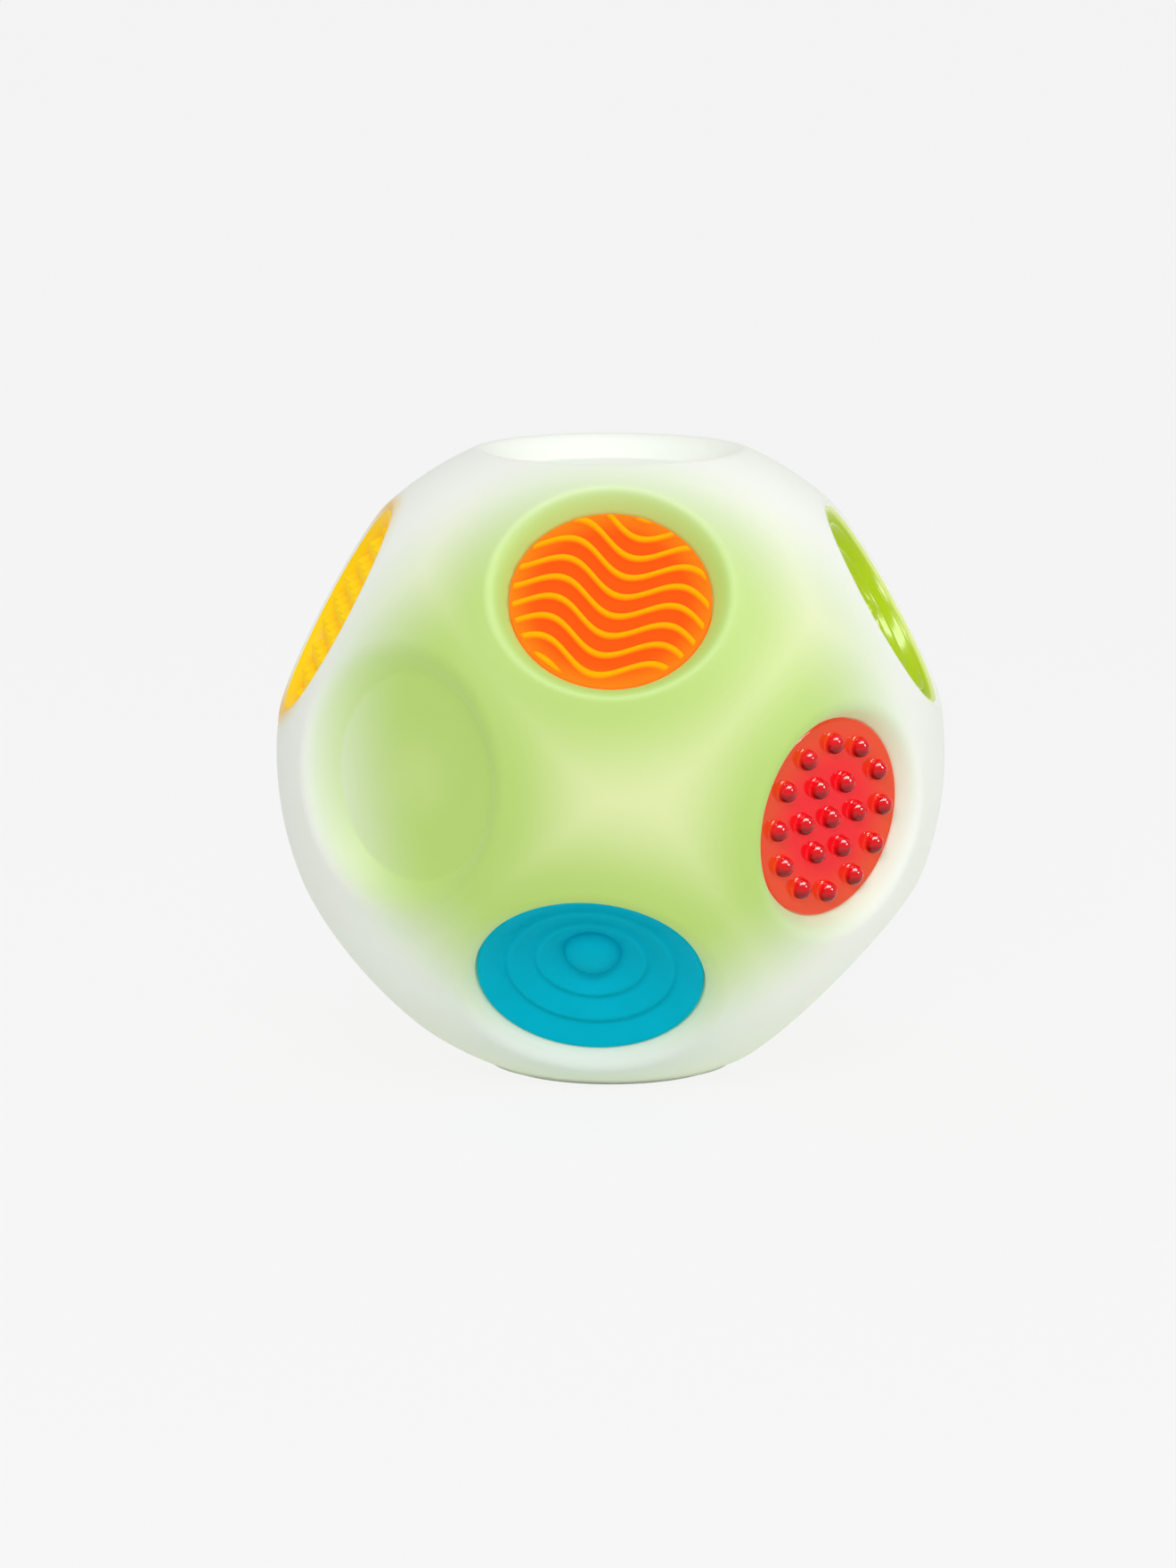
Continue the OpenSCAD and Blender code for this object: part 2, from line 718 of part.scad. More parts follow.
module tube(points, radius, sides, reference)
    polyhedron(tube_corners(points, radius, sides, reference), tube_faces(len(points), sides));

// A coil spring standing on zero, which may narrow towards its top
module coil(low_r, high_r, height, wire, turns) {
    steps = 10 * turns;
    rise = height - wire;
    centres = [for (i = [0 : steps])
        let (share = i / steps, turn = 360 * turns * share)
        around(low_r + (high_r - low_r) * share, turn, wire / 2 + rise * share)];
    tube(centres, wire / 2, lead_sides, function (i) [cos(36 * i), sin(36 * i), 0]);
}

// Spring that lifts the cap, round the pedestal
module button_spring() color("silver") in_dimple(button_angles)
    translate([0, 0, cup_floor_h])
        coil(spring_d / 2, spring_d / 2, cap_under_h - cup_floor_h, spring_wire, spring_turns);

// Rubber dome with the contact pill, under the plunger
module contact_dome() color("dimgray") in_dimple(button_angles) rotate_extrude() polygon([
    [dome_r - dome_wall, dome_base_h], [dome_r, dome_base_h], [dome_r, dome_base_h + dome_wall],
    [dome_top_r, dome_top_h], [0, dome_top_h], [0, dome_top_h - 2 * dome_wall],
    [dome_top_r - dome_wall, dome_top_h - 2 * dome_wall]]);

module button_board() color("seagreen") in_dimple(button_angles)
    disc(contact_board_r, pedestal_top_h, dome_base_h);

// Points of a smooth line through a route's own points
function route_point(route, i) = route[max(0, min(len(route) - 1, i))];
function smooth_point(a, b, c, d, t) =
    0.5 * ((2 * b) + (c - a) * t + (2 * a - 5 * b + 4 * c - d) * t * t
        + (3 * b - a - 3 * c + d) * t * t * t);
function smooth(route, steps) = concat(
    [for (i = [0 : len(route) - 2], s = [0 : steps - 1])
        smooth_point(route_point(route, i - 1), route[i], route[i + 1],
            route_point(route, i + 2), s / steps)],
    [route[len(route) - 1]]);

// Lead from the button's contacts down its cup and over to the plug under the main board
module button_lead() color("dimgray") {
    out = look(button_angles);
    start = [for (h = button_lead_heights) [0, 0, ball_z] + out * (pedestal_top_h + h)];
    end = [for (place = button_lead_route) place + [0, 0, port_z]];
    tube(smooth(concat(start, end), lead_steps), button_lead_r, lead_sides,
        function (i) [1, 0, 0]);
}

// Flange and canister in one: what the ball stands on, and the case of the light and sound module
module module_base() color("white") difference() {
    union() {
        rotate_extrude() polygon([
            [0, 0], [flange_r - flange_chamfer, 0], [flange_r, flange_chamfer], [flange_r, flange_t],
            [0, flange_t]]);
        difference() {
            disc(can_r, flange_t - overrun, can_top_z);
            disc(can_in_r, flange_t, can_top_z + overrun);
        }
        difference() {
            disc(can_in_r + overrun, speaker_z - speaker_ledge_t, speaker_z);
            disc(can_in_r - speaker_ledge_w, speaker_z - speaker_ledge_t - overrun, speaker_z + overrun);
            for (turn = concat(switch_lead_turns, [tab_turn, strip_turn])) rotate(turn)
                translate([can_in_r - speaker_ledge_w - overrun, -lead_notch_w / 2,
                    speaker_z - speaker_ledge_t - overrun])
                    cube([speaker_ledge_w + 3 * overrun, lead_notch_w, speaker_ledge_t + 2 * overrun]);
        }
        ring_of(screw_count, board_screw_circle, board_screw_turn) {
            disc(boss_r, board_z - board_boss_h, board_z);
            translate([0, -board_web_w / 2, board_z - board_boss_h])
                cube([can_in_r + overrun - board_screw_circle, board_web_w, board_boss_h]);
        }
    }
    disc(board_seat_r, board_z, can_top_z + overrun);
    disc(door_hole_r, -overrun, flange_t + overrun);
    translate([-slot_l / 2, switch_r - knob_w / 2 - knob_gap, -overrun])
        cube([slot_l, knob_w + 2 * knob_gap, flange_t + 2 * overrun]);
    for (turn = [sound_first : sound_step : sound_last]) rotate(turn) translate([sound_circle, 0, 0])
        disc(sound_hole_r, -overrun, flange_t + overrun);
    ring_of(screw_count, flange_screw_circle, flange_screw_turn) {
        disc(screw_shank_r + screw_gap, -overrun, flange_t + overrun);
        disc(screw_head_r + screw_gap, -overrun, head_inset + screw_head_h);
    }
    ring_of(screw_count, board_screw_circle, board_screw_turn)
        disc(screw_shank_r + thread_gap, board_z - board_boss_h - overrun, board_z + overrun);
    translate([port_x, port_bottom_y, port_z]) rotate([-90, 0, 0]) cylinder(r = port_r, h = can_wall * 2);
}

// Flat rubber ring between the flange and the ball
module mouth_seal() color("gray") difference() {
    disc(flange_r, seal_z, mouth_ledge_z);
    disc(mouth_hole_r, seal_z - overrun, mouth_ledge_z + overrun);
    ring_of(screw_count, flange_screw_circle, flange_screw_turn)
        disc(screw_shank_r + screw_gap, seal_z - overrun, mouth_ledge_z + overrun);
}

module flange_screws() color("silver") ring_of(screw_count, flange_screw_circle, flange_screw_turn)
    translate([0, 0, head_inset]) mirror([0, 0, 1]) small_screw();

// Tube for the three cells: a foot on the flange, fins, the door screw's post and a closed end
module battery_box() color("white") difference() {
    union() {
        difference() {
            union() {
                disc(box_r, flange_t, box_end_z);
                disc(box_foot_r, flange_t, flange_t + box_foot_t);
            }
            disc(box_in_r, flange_t - overrun, box_top_z);
        }
        disc(post_r, post_z, box_top_z + overrun);
        ring_of(len(cell_turns), 0, fin_turn) translate([0, -fin_t / 2, cell_z])
            cube([box_in_r + overrun, fin_t, cell_top_z - cell_z]);
    }
    disc(door_screw_r + thread_gap, post_z - overrun, post_z + door_screw_l);
    translate([-switch_l / 2 - switch_gap, switch_r - switch_w / 2 - switch_gap, flange_t - overrun])
        cube([switch_l + 2 * switch_gap, switch_w, switch_h + 2 * overrun]);
    for (turn = [strip_turn, tab_turn]) rotate(turn)
        translate([strip_r - contact_t / 2 - tab_gap, -strip_w / 2 - tab_gap, box_top_z - overrun])
            cube([contact_t + 2 * tab_gap, strip_w + 2 * tab_gap, box_top_t + 2 * overrun]);
}

// Round door over the cells, held by one captive screw
module battery_door() color("white") difference() {
    disc(door_r, door_inset, door_top_z);
    disc(door_screw_r + screw_gap, 0, door_top_z + overrun);
    disc(door_screw_head_r + screw_gap, 0, door_inset + door_screw_head_h);
}

module door_screw() color("silver") translate([0, 0, door_inset]) mirror([0, 0, 1])
    screw(door_screw_head_r, door_screw_head_h, door_screw_r, door_screw_l - door_screw_head_h);

// One cell standing on its flat end
module cell() {
    disc(cell_d / 2, 0, cell_l - cell_nub_h);
    disc(cell_nub_r, cell_l - cell_nub_h - overrun, cell_l);
}
module cells() color("goldenrod") for (i = [0 : len(cell_turns) - 1])
    rotate(cell_turns[i]) translate([cell_offset, 0, cell_z])
        if (cell_up[i] == 1) cell(); else translate([0, 0, cell_l]) mirror([0, 0, 1]) cell();

// A flat contact bar between two points, with round ends
module contact_bar(a, b, low, high) {
    length = norm(b - a);
    turn = atan2(b[1] - a[1], b[0] - a[0]);
    translate([a[0], a[1], 0]) rotate(turn) {
        disc(bar_w / 2, low, high);
        translate([0, -bar_w / 2, low]) cube([length, bar_w, high - low]);
        translate([length, 0, 0]) disc(bar_w / 2, low, high);
    }
}
cell_places = [for (turn = cell_turns) [cell_offset * cos(turn), cell_offset * sin(turn)]];
strip_place = [(strip_r - bar_w / 2) * cos(strip_turn), (strip_r - bar_w / 2) * sin(strip_turn)];
tab_place = [(strip_r - bar_w / 2) * cos(tab_turn), (strip_r - bar_w / 2) * sin(tab_turn)];

// Contact bars on the door: one joins two cells, the other leads to the return strip
module door_contacts() color("gold") {
    contact_bar(cell_places[0], cell_places[1], door_top_z, door_top_z + contact_t);
    contact_bar(cell_places[2], strip_place, door_top_z, door_top_z + contact_t);
    translate(cell_places[1]) disc(bump_r, door_top_z, cell_z);
}
module door_springs() color("silver") for (i = [0, 2])
    translate([cell_places[i][0], cell_places[i][1], door_top_z + contact_t])
        coil(cell_spring_r, cell_spring_end_r, contact_room, cell_spring_wire, cell_spring_turns);

// A strip that goes up through the box's end and lies on it, out to the foot of a lead
module tongue(low) {
    translate([strip_r - contact_t / 2, -strip_w / 2, low])
        cube([contact_t, strip_w, box_end_z + contact_t - low]);
    translate([strip_r - contact_t / 2, -strip_w / 2, box_end_z])
        cube([riser_r + lead_r - strip_r + contact_t / 2, strip_w, contact_t]);
}

// Contact bars at the closed end: one with a tongue for the lead, one that joins two cells
module top_contacts() color("gold") {
    low = box_top_z - contact_t;
    contact_bar(cell_places[0], tab_place, low, box_top_z);
    rotate(tab_turn) tongue(low);
    contact_bar(cell_places[1], cell_places[2], low, box_top_z);
    for (i = [0, 2]) translate(cell_places[i]) disc(bump_r, cell_top_z, box_top_z);
}
module top_spring() color("silver")
    translate([cell_places[1][0], cell_places[1][1], box_top_z - contact_t]) mirror([0, 0, 1])
        coil(cell_spring_r, cell_spring_end_r, contact_room, cell_spring_wire, cell_spring_turns);

// Strip that brings the door's second contact up to the board
module return_strip() color("gold") rotate(strip_turn) tongue(door_top_z + contact_t);

// Slide switch behind the flange, and the knob that a nail moves
module power_switch() color("dimgray") difference() {
    translate([-switch_l / 2, switch_r - switch_w / 2, flange_t]) cube([switch_l, switch_w, switch_h]);
    translate([-slot_l / 2, switch_r - knob_w / 2 - knob_gap, flange_t - overrun])
        cube([slot_l, knob_w + 2 * knob_gap, knob_tail + knob_gap + overrun]);
}
module power_knob() color("black")
    translate([-knob_l / 2 - knob_travel / 2, switch_r - knob_w / 2, knob_inset]) difference() {
        cube([knob_l, knob_w, flange_t + knob_tail - knob_inset]);
        for (i = [1 : knob_grooves])
            translate([knob_l * i / (knob_grooves + 1) - knob_groove_w / 2, -overrun, -overrun])
                cube([knob_groove_w, knob_w + 2 * overrun, overrun + knob_groove_w]);
    }

// Speaker, face down: basket, paper cone with its coil, and magnet
basket_in_r = speaker_r - speaker_rim_w;
basket_back_r = speaker_r * basket_back_share;
speaker_lead_r = (basket_in_r + basket_t + speaker_r) / 2;
module speaker_frame() color("dimgray") translate([0, 0, speaker_z]) rotate_extrude() polygon([
    [basket_in_r, 0], [speaker_r, 0], [speaker_r, speaker_rim_t],
    [basket_in_r + basket_t, speaker_rim_t], [basket_back_r, speaker_h],
    [coil_r + cone_t + cone_gap, speaker_h], [coil_r + cone_t + cone_gap, speaker_h - basket_t],
    [basket_back_r - basket_t, speaker_h - basket_t], [basket_in_r, speaker_rim_t]]);
module speaker_cone() color("saddlebrown") translate([0, 0, speaker_z]) rotate_extrude() polygon([
    [basket_in_r - cone_gap, cone_t], [basket_in_r - cone_gap, 2 * cone_t],
    [coil_r + cone_t, speaker_h / 2 + cone_t], [coil_r + cone_t, speaker_h - cone_gap],
    [coil_r, speaker_h - cone_gap], [coil_r, speaker_h / 2 + cone_t], [0, speaker_h / 2 + cone_t],
    [0, speaker_h / 2], [coil_r, speaker_h / 2]]);
module speaker_magnet() color("gray") disc(magnet_r, magnet_z, magnet_z + magnet_h);

module main_board() color("seagreen") difference() {
    disc(board_r, board_z, board_top_z);
    ring_of(screw_count, board_screw_circle, board_screw_turn)
        disc(screw_shank_r + screw_gap, board_z - overrun, board_top_z + overrun);
}
module board_screws() color("silver") ring_of(screw_count, board_screw_circle, board_screw_turn)
    translate([0, 0, board_top_z + screw_head_h])
        screw(screw_head_r, screw_head_h, screw_shank_r, board_t + board_boss_h - overrun);

// Parts soldered to the board: a bonded chip, small chips, a capacitor and the plug for the button
module board_parts() color("black") {
    translate([0, 0, board_top_z]) rotate_extrude()
        polygon([[0, 0], [blob_r, 0], [blob_r * 2 / 3, blob_h * 3 / 4], [0, blob_h]]);
    for (turn = [90 : 45 : 270]) rotate(turn)
        translate([chip_circle - chip_w / 2, -chip_l / 2, board_top_z]) cube([chip_w, chip_l, chip_h]);
    translate(capacitor_at) disc(capacitor_r, board_top_z, board_top_z + capacitor_h);
    translate([plug_x - plug_l / 2, plug_y - plug_w / 2, board_z - plug_h]) cube([plug_l, plug_w, plug_h]);
}

// Round-headed lamps on the board
module leds() color("lime") ring_of(led_count, led_offset) translate([0, 0, board_top_z])
    rotate_extrude() polygon(concat(
        [[0, 0], [led_r + led_rim, 0], [led_r + led_rim, led_rim_t], [led_r, led_rim_t]],
        [for (i = [0 : led_steps])
            let (turn = 90 * i / led_steps)
            [led_r * cos(turn), led_h - led_r + led_r * sin(turn)]]));

// Frosted dome over the lamps, pushed into the end of the canister
function dome_points(radius, height, base) = [
    for (i = [0 : diffuser_steps])
        let (turn = 90 * i / diffuser_steps)
        [radius * cos(turn), base + height * sin(turn)]];
module light_diffuser() color("honeydew") rotate_extrude() {
    spigot_r = board_seat_r - spigot_gap;
    collar_z = can_top_z;
    dome_z = collar_z + collar_t;
    polygon(concat(
        [[spigot_r - spigot_wall, board_top_z + collar_gap], [spigot_r, board_top_z + collar_gap],
            [spigot_r, collar_z], [can_r, collar_z]],
        dome_points(can_r, diffuser_h, dome_z),
        backwards(dome_points(spigot_r - spigot_wall, diffuser_h - diffuser_wall, dome_z))));
}

// Straight leads from the contacts, from the switch and from the speaker's rim up to the board
module battery_leads() color("crimson") for (turn = [tab_turn, strip_turn]) rotate(turn)
    translate([riser_r, 0, 0]) disc(lead_r, box_end_z + contact_t, board_z);
module switch_leads() color("black") for (turn = switch_lead_turns) rotate(turn)
    translate([riser_r, 0, 0]) disc(lead_r, flange_t + switch_h, board_z);
module speaker_leads() color("black") for (turn = speaker_lead_turns) rotate(turn)
    translate([speaker_lead_r, 0, 0])
        disc(lead_r, speaker_z + speaker_rim_t, board_z);

ball_shell();
wave_pad();
wave_pad_back();
bump_pad();
bump_pad_back();
ring_bowl_pad();
pyramid_pad();
button_cap();
button_cup();
cup_screws();
button_spring();
contact_dome();
button_board();
button_lead();
module_base();
mouth_seal();
flange_screws();
battery_box();
battery_door();
door_screw();
cells();
door_contacts();
door_springs();
top_contacts();
top_spring();
return_strip();
power_switch();
power_knob();
speaker_frame();
speaker_cone();
speaker_magnet();
main_board();
board_screws();
board_parts();
leds();
light_diffuser();
battery_leads();
switch_leads();
speaker_leads();
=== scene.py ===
"""Looks of a light-up sensory ball, built around its construction model. Sizes are in metres."""
import json
import math

import bmesh
import bpy
from mathutils import Matrix, Vector
from mathutils.geometry import delaunay_2d_cdt


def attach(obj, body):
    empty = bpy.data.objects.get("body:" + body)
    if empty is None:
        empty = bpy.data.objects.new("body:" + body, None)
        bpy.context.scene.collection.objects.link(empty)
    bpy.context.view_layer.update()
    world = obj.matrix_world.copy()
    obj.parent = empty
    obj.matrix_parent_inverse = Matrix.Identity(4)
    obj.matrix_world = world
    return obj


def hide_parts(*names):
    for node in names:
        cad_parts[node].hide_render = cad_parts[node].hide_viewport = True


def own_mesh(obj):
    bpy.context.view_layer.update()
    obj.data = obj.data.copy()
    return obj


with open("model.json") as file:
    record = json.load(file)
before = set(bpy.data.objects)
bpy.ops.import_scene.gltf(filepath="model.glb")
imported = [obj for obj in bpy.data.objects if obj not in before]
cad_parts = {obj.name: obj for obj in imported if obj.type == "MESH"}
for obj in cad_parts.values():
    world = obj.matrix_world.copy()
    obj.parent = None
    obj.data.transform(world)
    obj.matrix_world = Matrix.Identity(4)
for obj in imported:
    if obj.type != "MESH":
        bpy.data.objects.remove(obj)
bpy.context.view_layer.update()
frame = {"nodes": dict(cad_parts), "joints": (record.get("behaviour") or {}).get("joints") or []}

# Ball shell
# One hollow ball of milky plastic, moulded in one piece with round dimples all over. Six of them hold
# soft pads, one is the button's well, one the mouth for the module, and the rest stay plain.
BALL_R = 0.075
SHELL_WALL = 0.0024
MOUTH_R = 0.02505
FLANGE_PROUD = 0.0005
BALL_Z = math.sqrt(BALL_R ** 2 - MOUTH_R ** 2) + FLANGE_PROUD
FLOOR_H = 0.0636
FLOOR_R = 0.0227
DISH_DEPTH = 0.0015
PLAIN_RUN = 0.006
PLAIN_BLEND_R = 0.0312
PAD_R = 0.022
PAD_TOP_H = 0.0663
SEAT_R = 0.02225
LIP_H = 0.0660
STEM_R = 0.003
STEM_HOLE_R = 0.0032
PAD_BLEND_R = 0.0278
WELL_R = 0.02525
WELL_LEDGE_H = 0.0560
CUP_HOLE_R = 0.0209
CAP_EDGE_H = 0.0664
WELL_BLEND_R = 0.0306
MOUTH_LEDGE_Z = 0.0034
MOUTH_HOLE_R = 0.0209
MOUTH_ROUND = 0.0004
MOUTH_BLEND_R = 0.0259
RIM_ANGLE = 58
RIM_STEPS = 14
CREASE_ROUND = 0.0007
CREASE_STEPS = 6
RIM_ROUND = 0.0056
DISH_STEPS = 12
SHELL_TURNS = 112
SHELL_SHARP = 60
LAND_SPACING = 0.0021
LAND_MARGIN = 0.6 * LAND_SPACING / BALL_R
JOIN_LIMIT = 1e-9

# Where the dimples look: longitude from the front towards the right, then latitude
WAVE_ANGLES = (0, 39)
WAVE_BACK_ANGLES = (-134, -2)
BUMP_ANGLES = (46, -6)
BUMP_BACK_ANGLES = (180, 37)
BOWL_ANGLES = (84.5, 29.6)
PYRAMID_ANGLES = (-84.5, 28.4)
MOUTH_ANGLES = (0, -90)
PLAIN_ANGLES = [(-42, 2), (88.5, -45), (-100, -42), (0, 90), (133, -3), (178, -41)]
PAD_ANGLES = [
    WAVE_ANGLES, WAVE_BACK_ANGLES, BUMP_ANGLES, BUMP_BACK_ANGLES, BOWL_ANGLES, PYRAMID_ANGLES
]
joints = {joint["name"]: joint for joint in frame["joints"]}
press = Vector(joints["button_press"]["axis"]).normalized()
BUTTON_ANGLES = (math.degrees(math.atan2(-press.x, press.y)), -math.degrees(math.asin(press.z)))


def in_dimple(angles):
    """Places a shape on a dimple's axis: z points out of the ball, zero is its middle."""
    turn = Matrix.Rotation(math.radians(angles[0]), 4, "Z")
    tilt = Matrix.Rotation(math.radians(90 - angles[1]), 4, "X")
    return Matrix.Translation((0, 0, BALL_Z)) @ turn @ tilt


def on_ball(radius):
    """Point of the ball's outline at a distance from a dimple's axis."""
    return (radius, math.sqrt(BALL_R ** 2 - radius ** 2))


def bend(start, start_angle, end, end_angle, steps=10, pull=0.42):
    """Points of a smooth bend that leaves start and reaches end at the given angles."""
    start, end = Vector(start), Vector(end)
    reach = (end - start).length * pull
    leave = Vector((math.cos(math.radians(start_angle)), math.sin(math.radians(start_angle))))
    arrive = Vector((math.cos(math.radians(end_angle)), math.sin(math.radians(end_angle))))
    first, second = start + leave * reach, end - arrive * reach
    points = []
    for i in range(steps + 1):
        t = i / steps
        points.append(tuple(start * (1 - t) ** 3 + first * 3 * t * (1 - t) ** 2
                            + second * 3 * t * t * (1 - t) + end * t ** 3))
    return points


def soft_rim(start, start_angle, blend_r):
    """Funnel from a dimple's wall over a soft rim into the round of the ball."""
    ball_angle = -math.degrees(math.asin(blend_r / BALL_R))
    return bend(start, start_angle, on_ball(blend_r), ball_angle, RIM_STEPS)


def plain_profile():
    """Half section of a plain dimple: hollow floor, rounded crease, sloping wall and soft rim."""
    rim_r, rim_h = on_ball(FLOOR_R + PLAIN_RUN)
    wall_angle = math.degrees(math.atan2(rim_h - FLOOR_H, PLAIN_RUN))
    along = Vector((math.cos(math.radians(wall_angle)), math.sin(math.radians(wall_angle))))
    crease_r = FLOOR_R - CREASE_ROUND
    floor = []
    for i in range(DISH_STEPS + 1):
        radius = crease_r * i / DISH_STEPS
        floor.append((radius, FLOOR_H - DISH_DEPTH * (1 - (radius / FLOOR_R) ** 2)))
    floor_angle = math.degrees(math.atan(2 * DISH_DEPTH * crease_r / FLOOR_R ** 2))
    wall_foot = Vector((FLOOR_R, FLOOR_H)) + along * CREASE_ROUND
    wall_top = Vector((rim_r, rim_h)) - along * RIM_ROUND
    crease = bend(floor[-1], floor_angle, wall_foot, wall_angle, CREASE_STEPS)
    return floor + crease[1:] + soft_rim(wall_top, wall_angle, PLAIN_BLEND_R)


def pad_profile():
    """Half section of a pad's recess, from the hole for its stem out to the ball."""
    floor = [(STEM_HOLE_R, FLOOR_H), (SEAT_R / 2, FLOOR_H), (SEAT_R, FLOOR_H)]
    wall = [(SEAT_R, (FLOOR_H + LIP_H) / 2)]
    return floor + wall + soft_rim((SEAT_R, LIP_H), RIM_ANGLE, PAD_BLEND_R)


def well_profile():
    """Half section of the button's well, from the hole for its cup out to the ball."""
    ledge = [(CUP_HOLE_R, WELL_LEDGE_H), (WELL_R, WELL_LEDGE_H)]
    wall = [(WELL_R, (WELL_LEDGE_H + CAP_EDGE_H) / 2)]
    return ledge + wall + soft_rim((WELL_R, CAP_EDGE_H), RIM_ANGLE, WELL_BLEND_R)


def mouth_profile():
    """Half section of the mouth's recess, from the hole for the canister out to the ball."""
    ledge_h = BALL_Z - MOUTH_LEDGE_Z
    edge_h = on_ball(MOUTH_R)[1]
    ledge = [(MOUTH_HOLE_R, ledge_h), (MOUTH_R, ledge_h)]
    wall = [(MOUTH_R, (ledge_h + edge_h) / 2)]
    return ledge + wall + soft_rim((MOUTH_R, edge_h - MOUTH_ROUND), 90, MOUTH_BLEND_R)


def revolve(mesh, profile, turns, place=Matrix.Identity(4)):
    """Turns a profile of (radius, height) points about z in a bmesh and returns its rings of corners."""
    rings = []
    for radius, height in profile:
        ring = []
        for i in range(turns if radius > 0 else 1):
            turn = 2 * math.pi * i / turns
            point = Vector((radius * math.cos(turn), radius * math.sin(turn), height))
            ring.append(mesh.verts.new(place @ point))
        rings.append(ring)
    for low, high in zip(rings, rings[1:]):
        for i in range(turns):
            after = (i + 1) % turns
            corners = [low[i % len(low)], high[i % len(high)]]
            corners += [high[after % len(high)], low[after % len(low)]]
            mesh.faces.new(list(dict.fromkeys(corners)))
    return rings


def write_mesh(mesh, data, sharp_angle=None):
    """Writes a finished bmesh to mesh data, shaded smooth but for edges over the sharp angle."""
    mesh.to_mesh(data)
    mesh.free()
    data.shade_smooth()
    if sharp_angle:
        data.set_sharp_from_angle(angle=math.radians(sharp_angle))
    return data


def to_plane(point):
    """Flattens a point of the ball, seen from the mouth, so that circles stay circles."""
    x, y, z = (point - Vector((0, 0, BALL_Z))) / BALL_R
    return Vector((x / (1 + z), y / (1 + z)))


dimples = [(angles, plain_profile()) for angles in PLAIN_ANGLES]
dimples += [(angles, pad_profile()) for angles in PAD_ANGLES]
dimples += [(BUTTON_ANGLES, well_profile()), (MOUTH_ANGLES, mouth_profile())]
shell_mesh = bmesh.new()
loops = [revolve(shell_mesh, profile, SHELL_TURNS, in_dimple(angles))[-1] for angles, profile in dimples]
looks = [(in_dimple(angles).to_3x3() @ Vector((0, 0, 1)), math.asin(profile[-1][0] / BALL_R))
         for angles, profile in dimples]


def room_beside_dimples(direction):
    """Angle from a direction to the nearest rim, below zero inside a dimple."""
    return min(direction.angle(look) - reach for look, reach in looks)


# The land between the dimples: evenly spread points on the ball, joined to the rims
land = [corner for loop in loops for corner in loop]
rim_edges = []
for k in range(len(loops)):
    first = k * SHELL_TURNS
    rim_edges += [(first + i, first + (i + 1) % SHELL_TURNS) for i in range(SHELL_TURNS)]
land_count = int(4 * math.pi * BALL_R ** 2 / (LAND_SPACING ** 2 * math.sqrt(3) / 2))
golden_turn = math.pi * (3 - math.sqrt(5))
for i in range(land_count):
    height = 1 - 2 * (i + 0.5) / land_count
    out = math.sqrt(1 - height ** 2)
    direction = Vector((out * math.cos(golden_turn * i), out * math.sin(golden_turn * i), height))
    if room_beside_dimples(direction) > LAND_MARGIN:
        land.append(shell_mesh.verts.new(Vector((0, 0, BALL_Z)) + direction * BALL_R))
flat_points = [to_plane(corner.co) for corner in land]
_, _, triangles, came_from, _, _ = delaunay_2d_cdt(flat_points, rim_edges, [], 0, JOIN_LIMIT)
mouth_first = (len(loops) - 1) * SHELL_TURNS
for triangle in triangles:
    corners = [came_from[i][0] for i in triangle]
    inside = {c // SHELL_TURNS for c in corners}
    if max(corners) < mouth_first and len(inside) == 1:
        continue
    shell_mesh.faces.new([land[c] for c in corners])
shell_data = write_mesh(shell_mesh, bpy.data.meshes.new("ball_shell_milky"), SHELL_SHARP)


def smooth_step(value, low, high):
    """Zero below low, one above high and a smooth rise between."""
    share = min(1, max(0, (value - low) / (high - low)))
    return share * share * (3 - 2 * share)


# How pale the lamps shine through at each corner, palest on wide lands and a little in plain dishes,
# and which corners lie in a plain dish
LAND_FADE = math.radians(17)
DISH_PALE = 0.22
DISH_FADE = math.radians(13)
DISH_EDGE = math.atan2(FLOOR_R, FLOOR_H)
DISH_SOFT = math.radians(4)
pale_glow = shell_data.attributes.new("pale_glow", "FLOAT", "POINT")
in_dish = shell_data.attributes.new("in_dish", "FLOAT", "POINT")
plain_looks = [look for look, reach in looks[:len(PLAIN_ANGLES)]]
for corner, value, dish in zip(shell_data.vertices, pale_glow.data, in_dish.data):
    direction = corner.co - Vector((0, 0, BALL_Z))
    on_land = smooth_step(room_beside_dimples(direction), 0, LAND_FADE)
    off_dish = min(direction.angle(look) for look in plain_looks)
    value.value = max(on_land, DISH_PALE * (1 - smooth_step(off_dish, 0, DISH_FADE)))
    dish.value = 1 - smooth_step(off_dish, DISH_EDGE - DISH_SOFT / 4, DISH_EDGE + DISH_SOFT)

# Painted glow: yellow light that the pyramid pad throws on the milky wall above and below it
YELLOW_GLOW_FADE = 0.0052
YELLOW_GLOW_NARROW = 4
yellow_painted_glow = shell_data.attributes.new("yellow_painted_glow", "FLOAT", "POINT")
to_yellow = in_dimple(PYRAMID_ANGLES).inverted()
for corner, value in zip(shell_data.vertices, yellow_painted_glow.data):
    local = to_yellow @ corner.co
    radius = math.hypot(local.x, local.y)
    near = 1 - smooth_step(radius, PAD_BLEND_R - YELLOW_GLOW_FADE / 2, PAD_BLEND_R + YELLOW_GLOW_FADE / 2)
    above_or_below = (local.y / max(radius, STEM_R)) ** YELLOW_GLOW_NARROW
    value.value = near * above_or_below if local.z > 0 else 0


def new_material(name):
    """A material with its node tree and its Principled shader."""
    material = bpy.data.materials.new(name)
    material.use_nodes = True
    return material, material.node_tree, material.node_tree.nodes["Principled BSDF"]


def add_node(tree, kind, **settings):
    """A shader node with its own settings, such as its mode or name."""
    node = tree.nodes.new(kind)
    for name, value in settings.items():
        setattr(node, name, value)
    return node


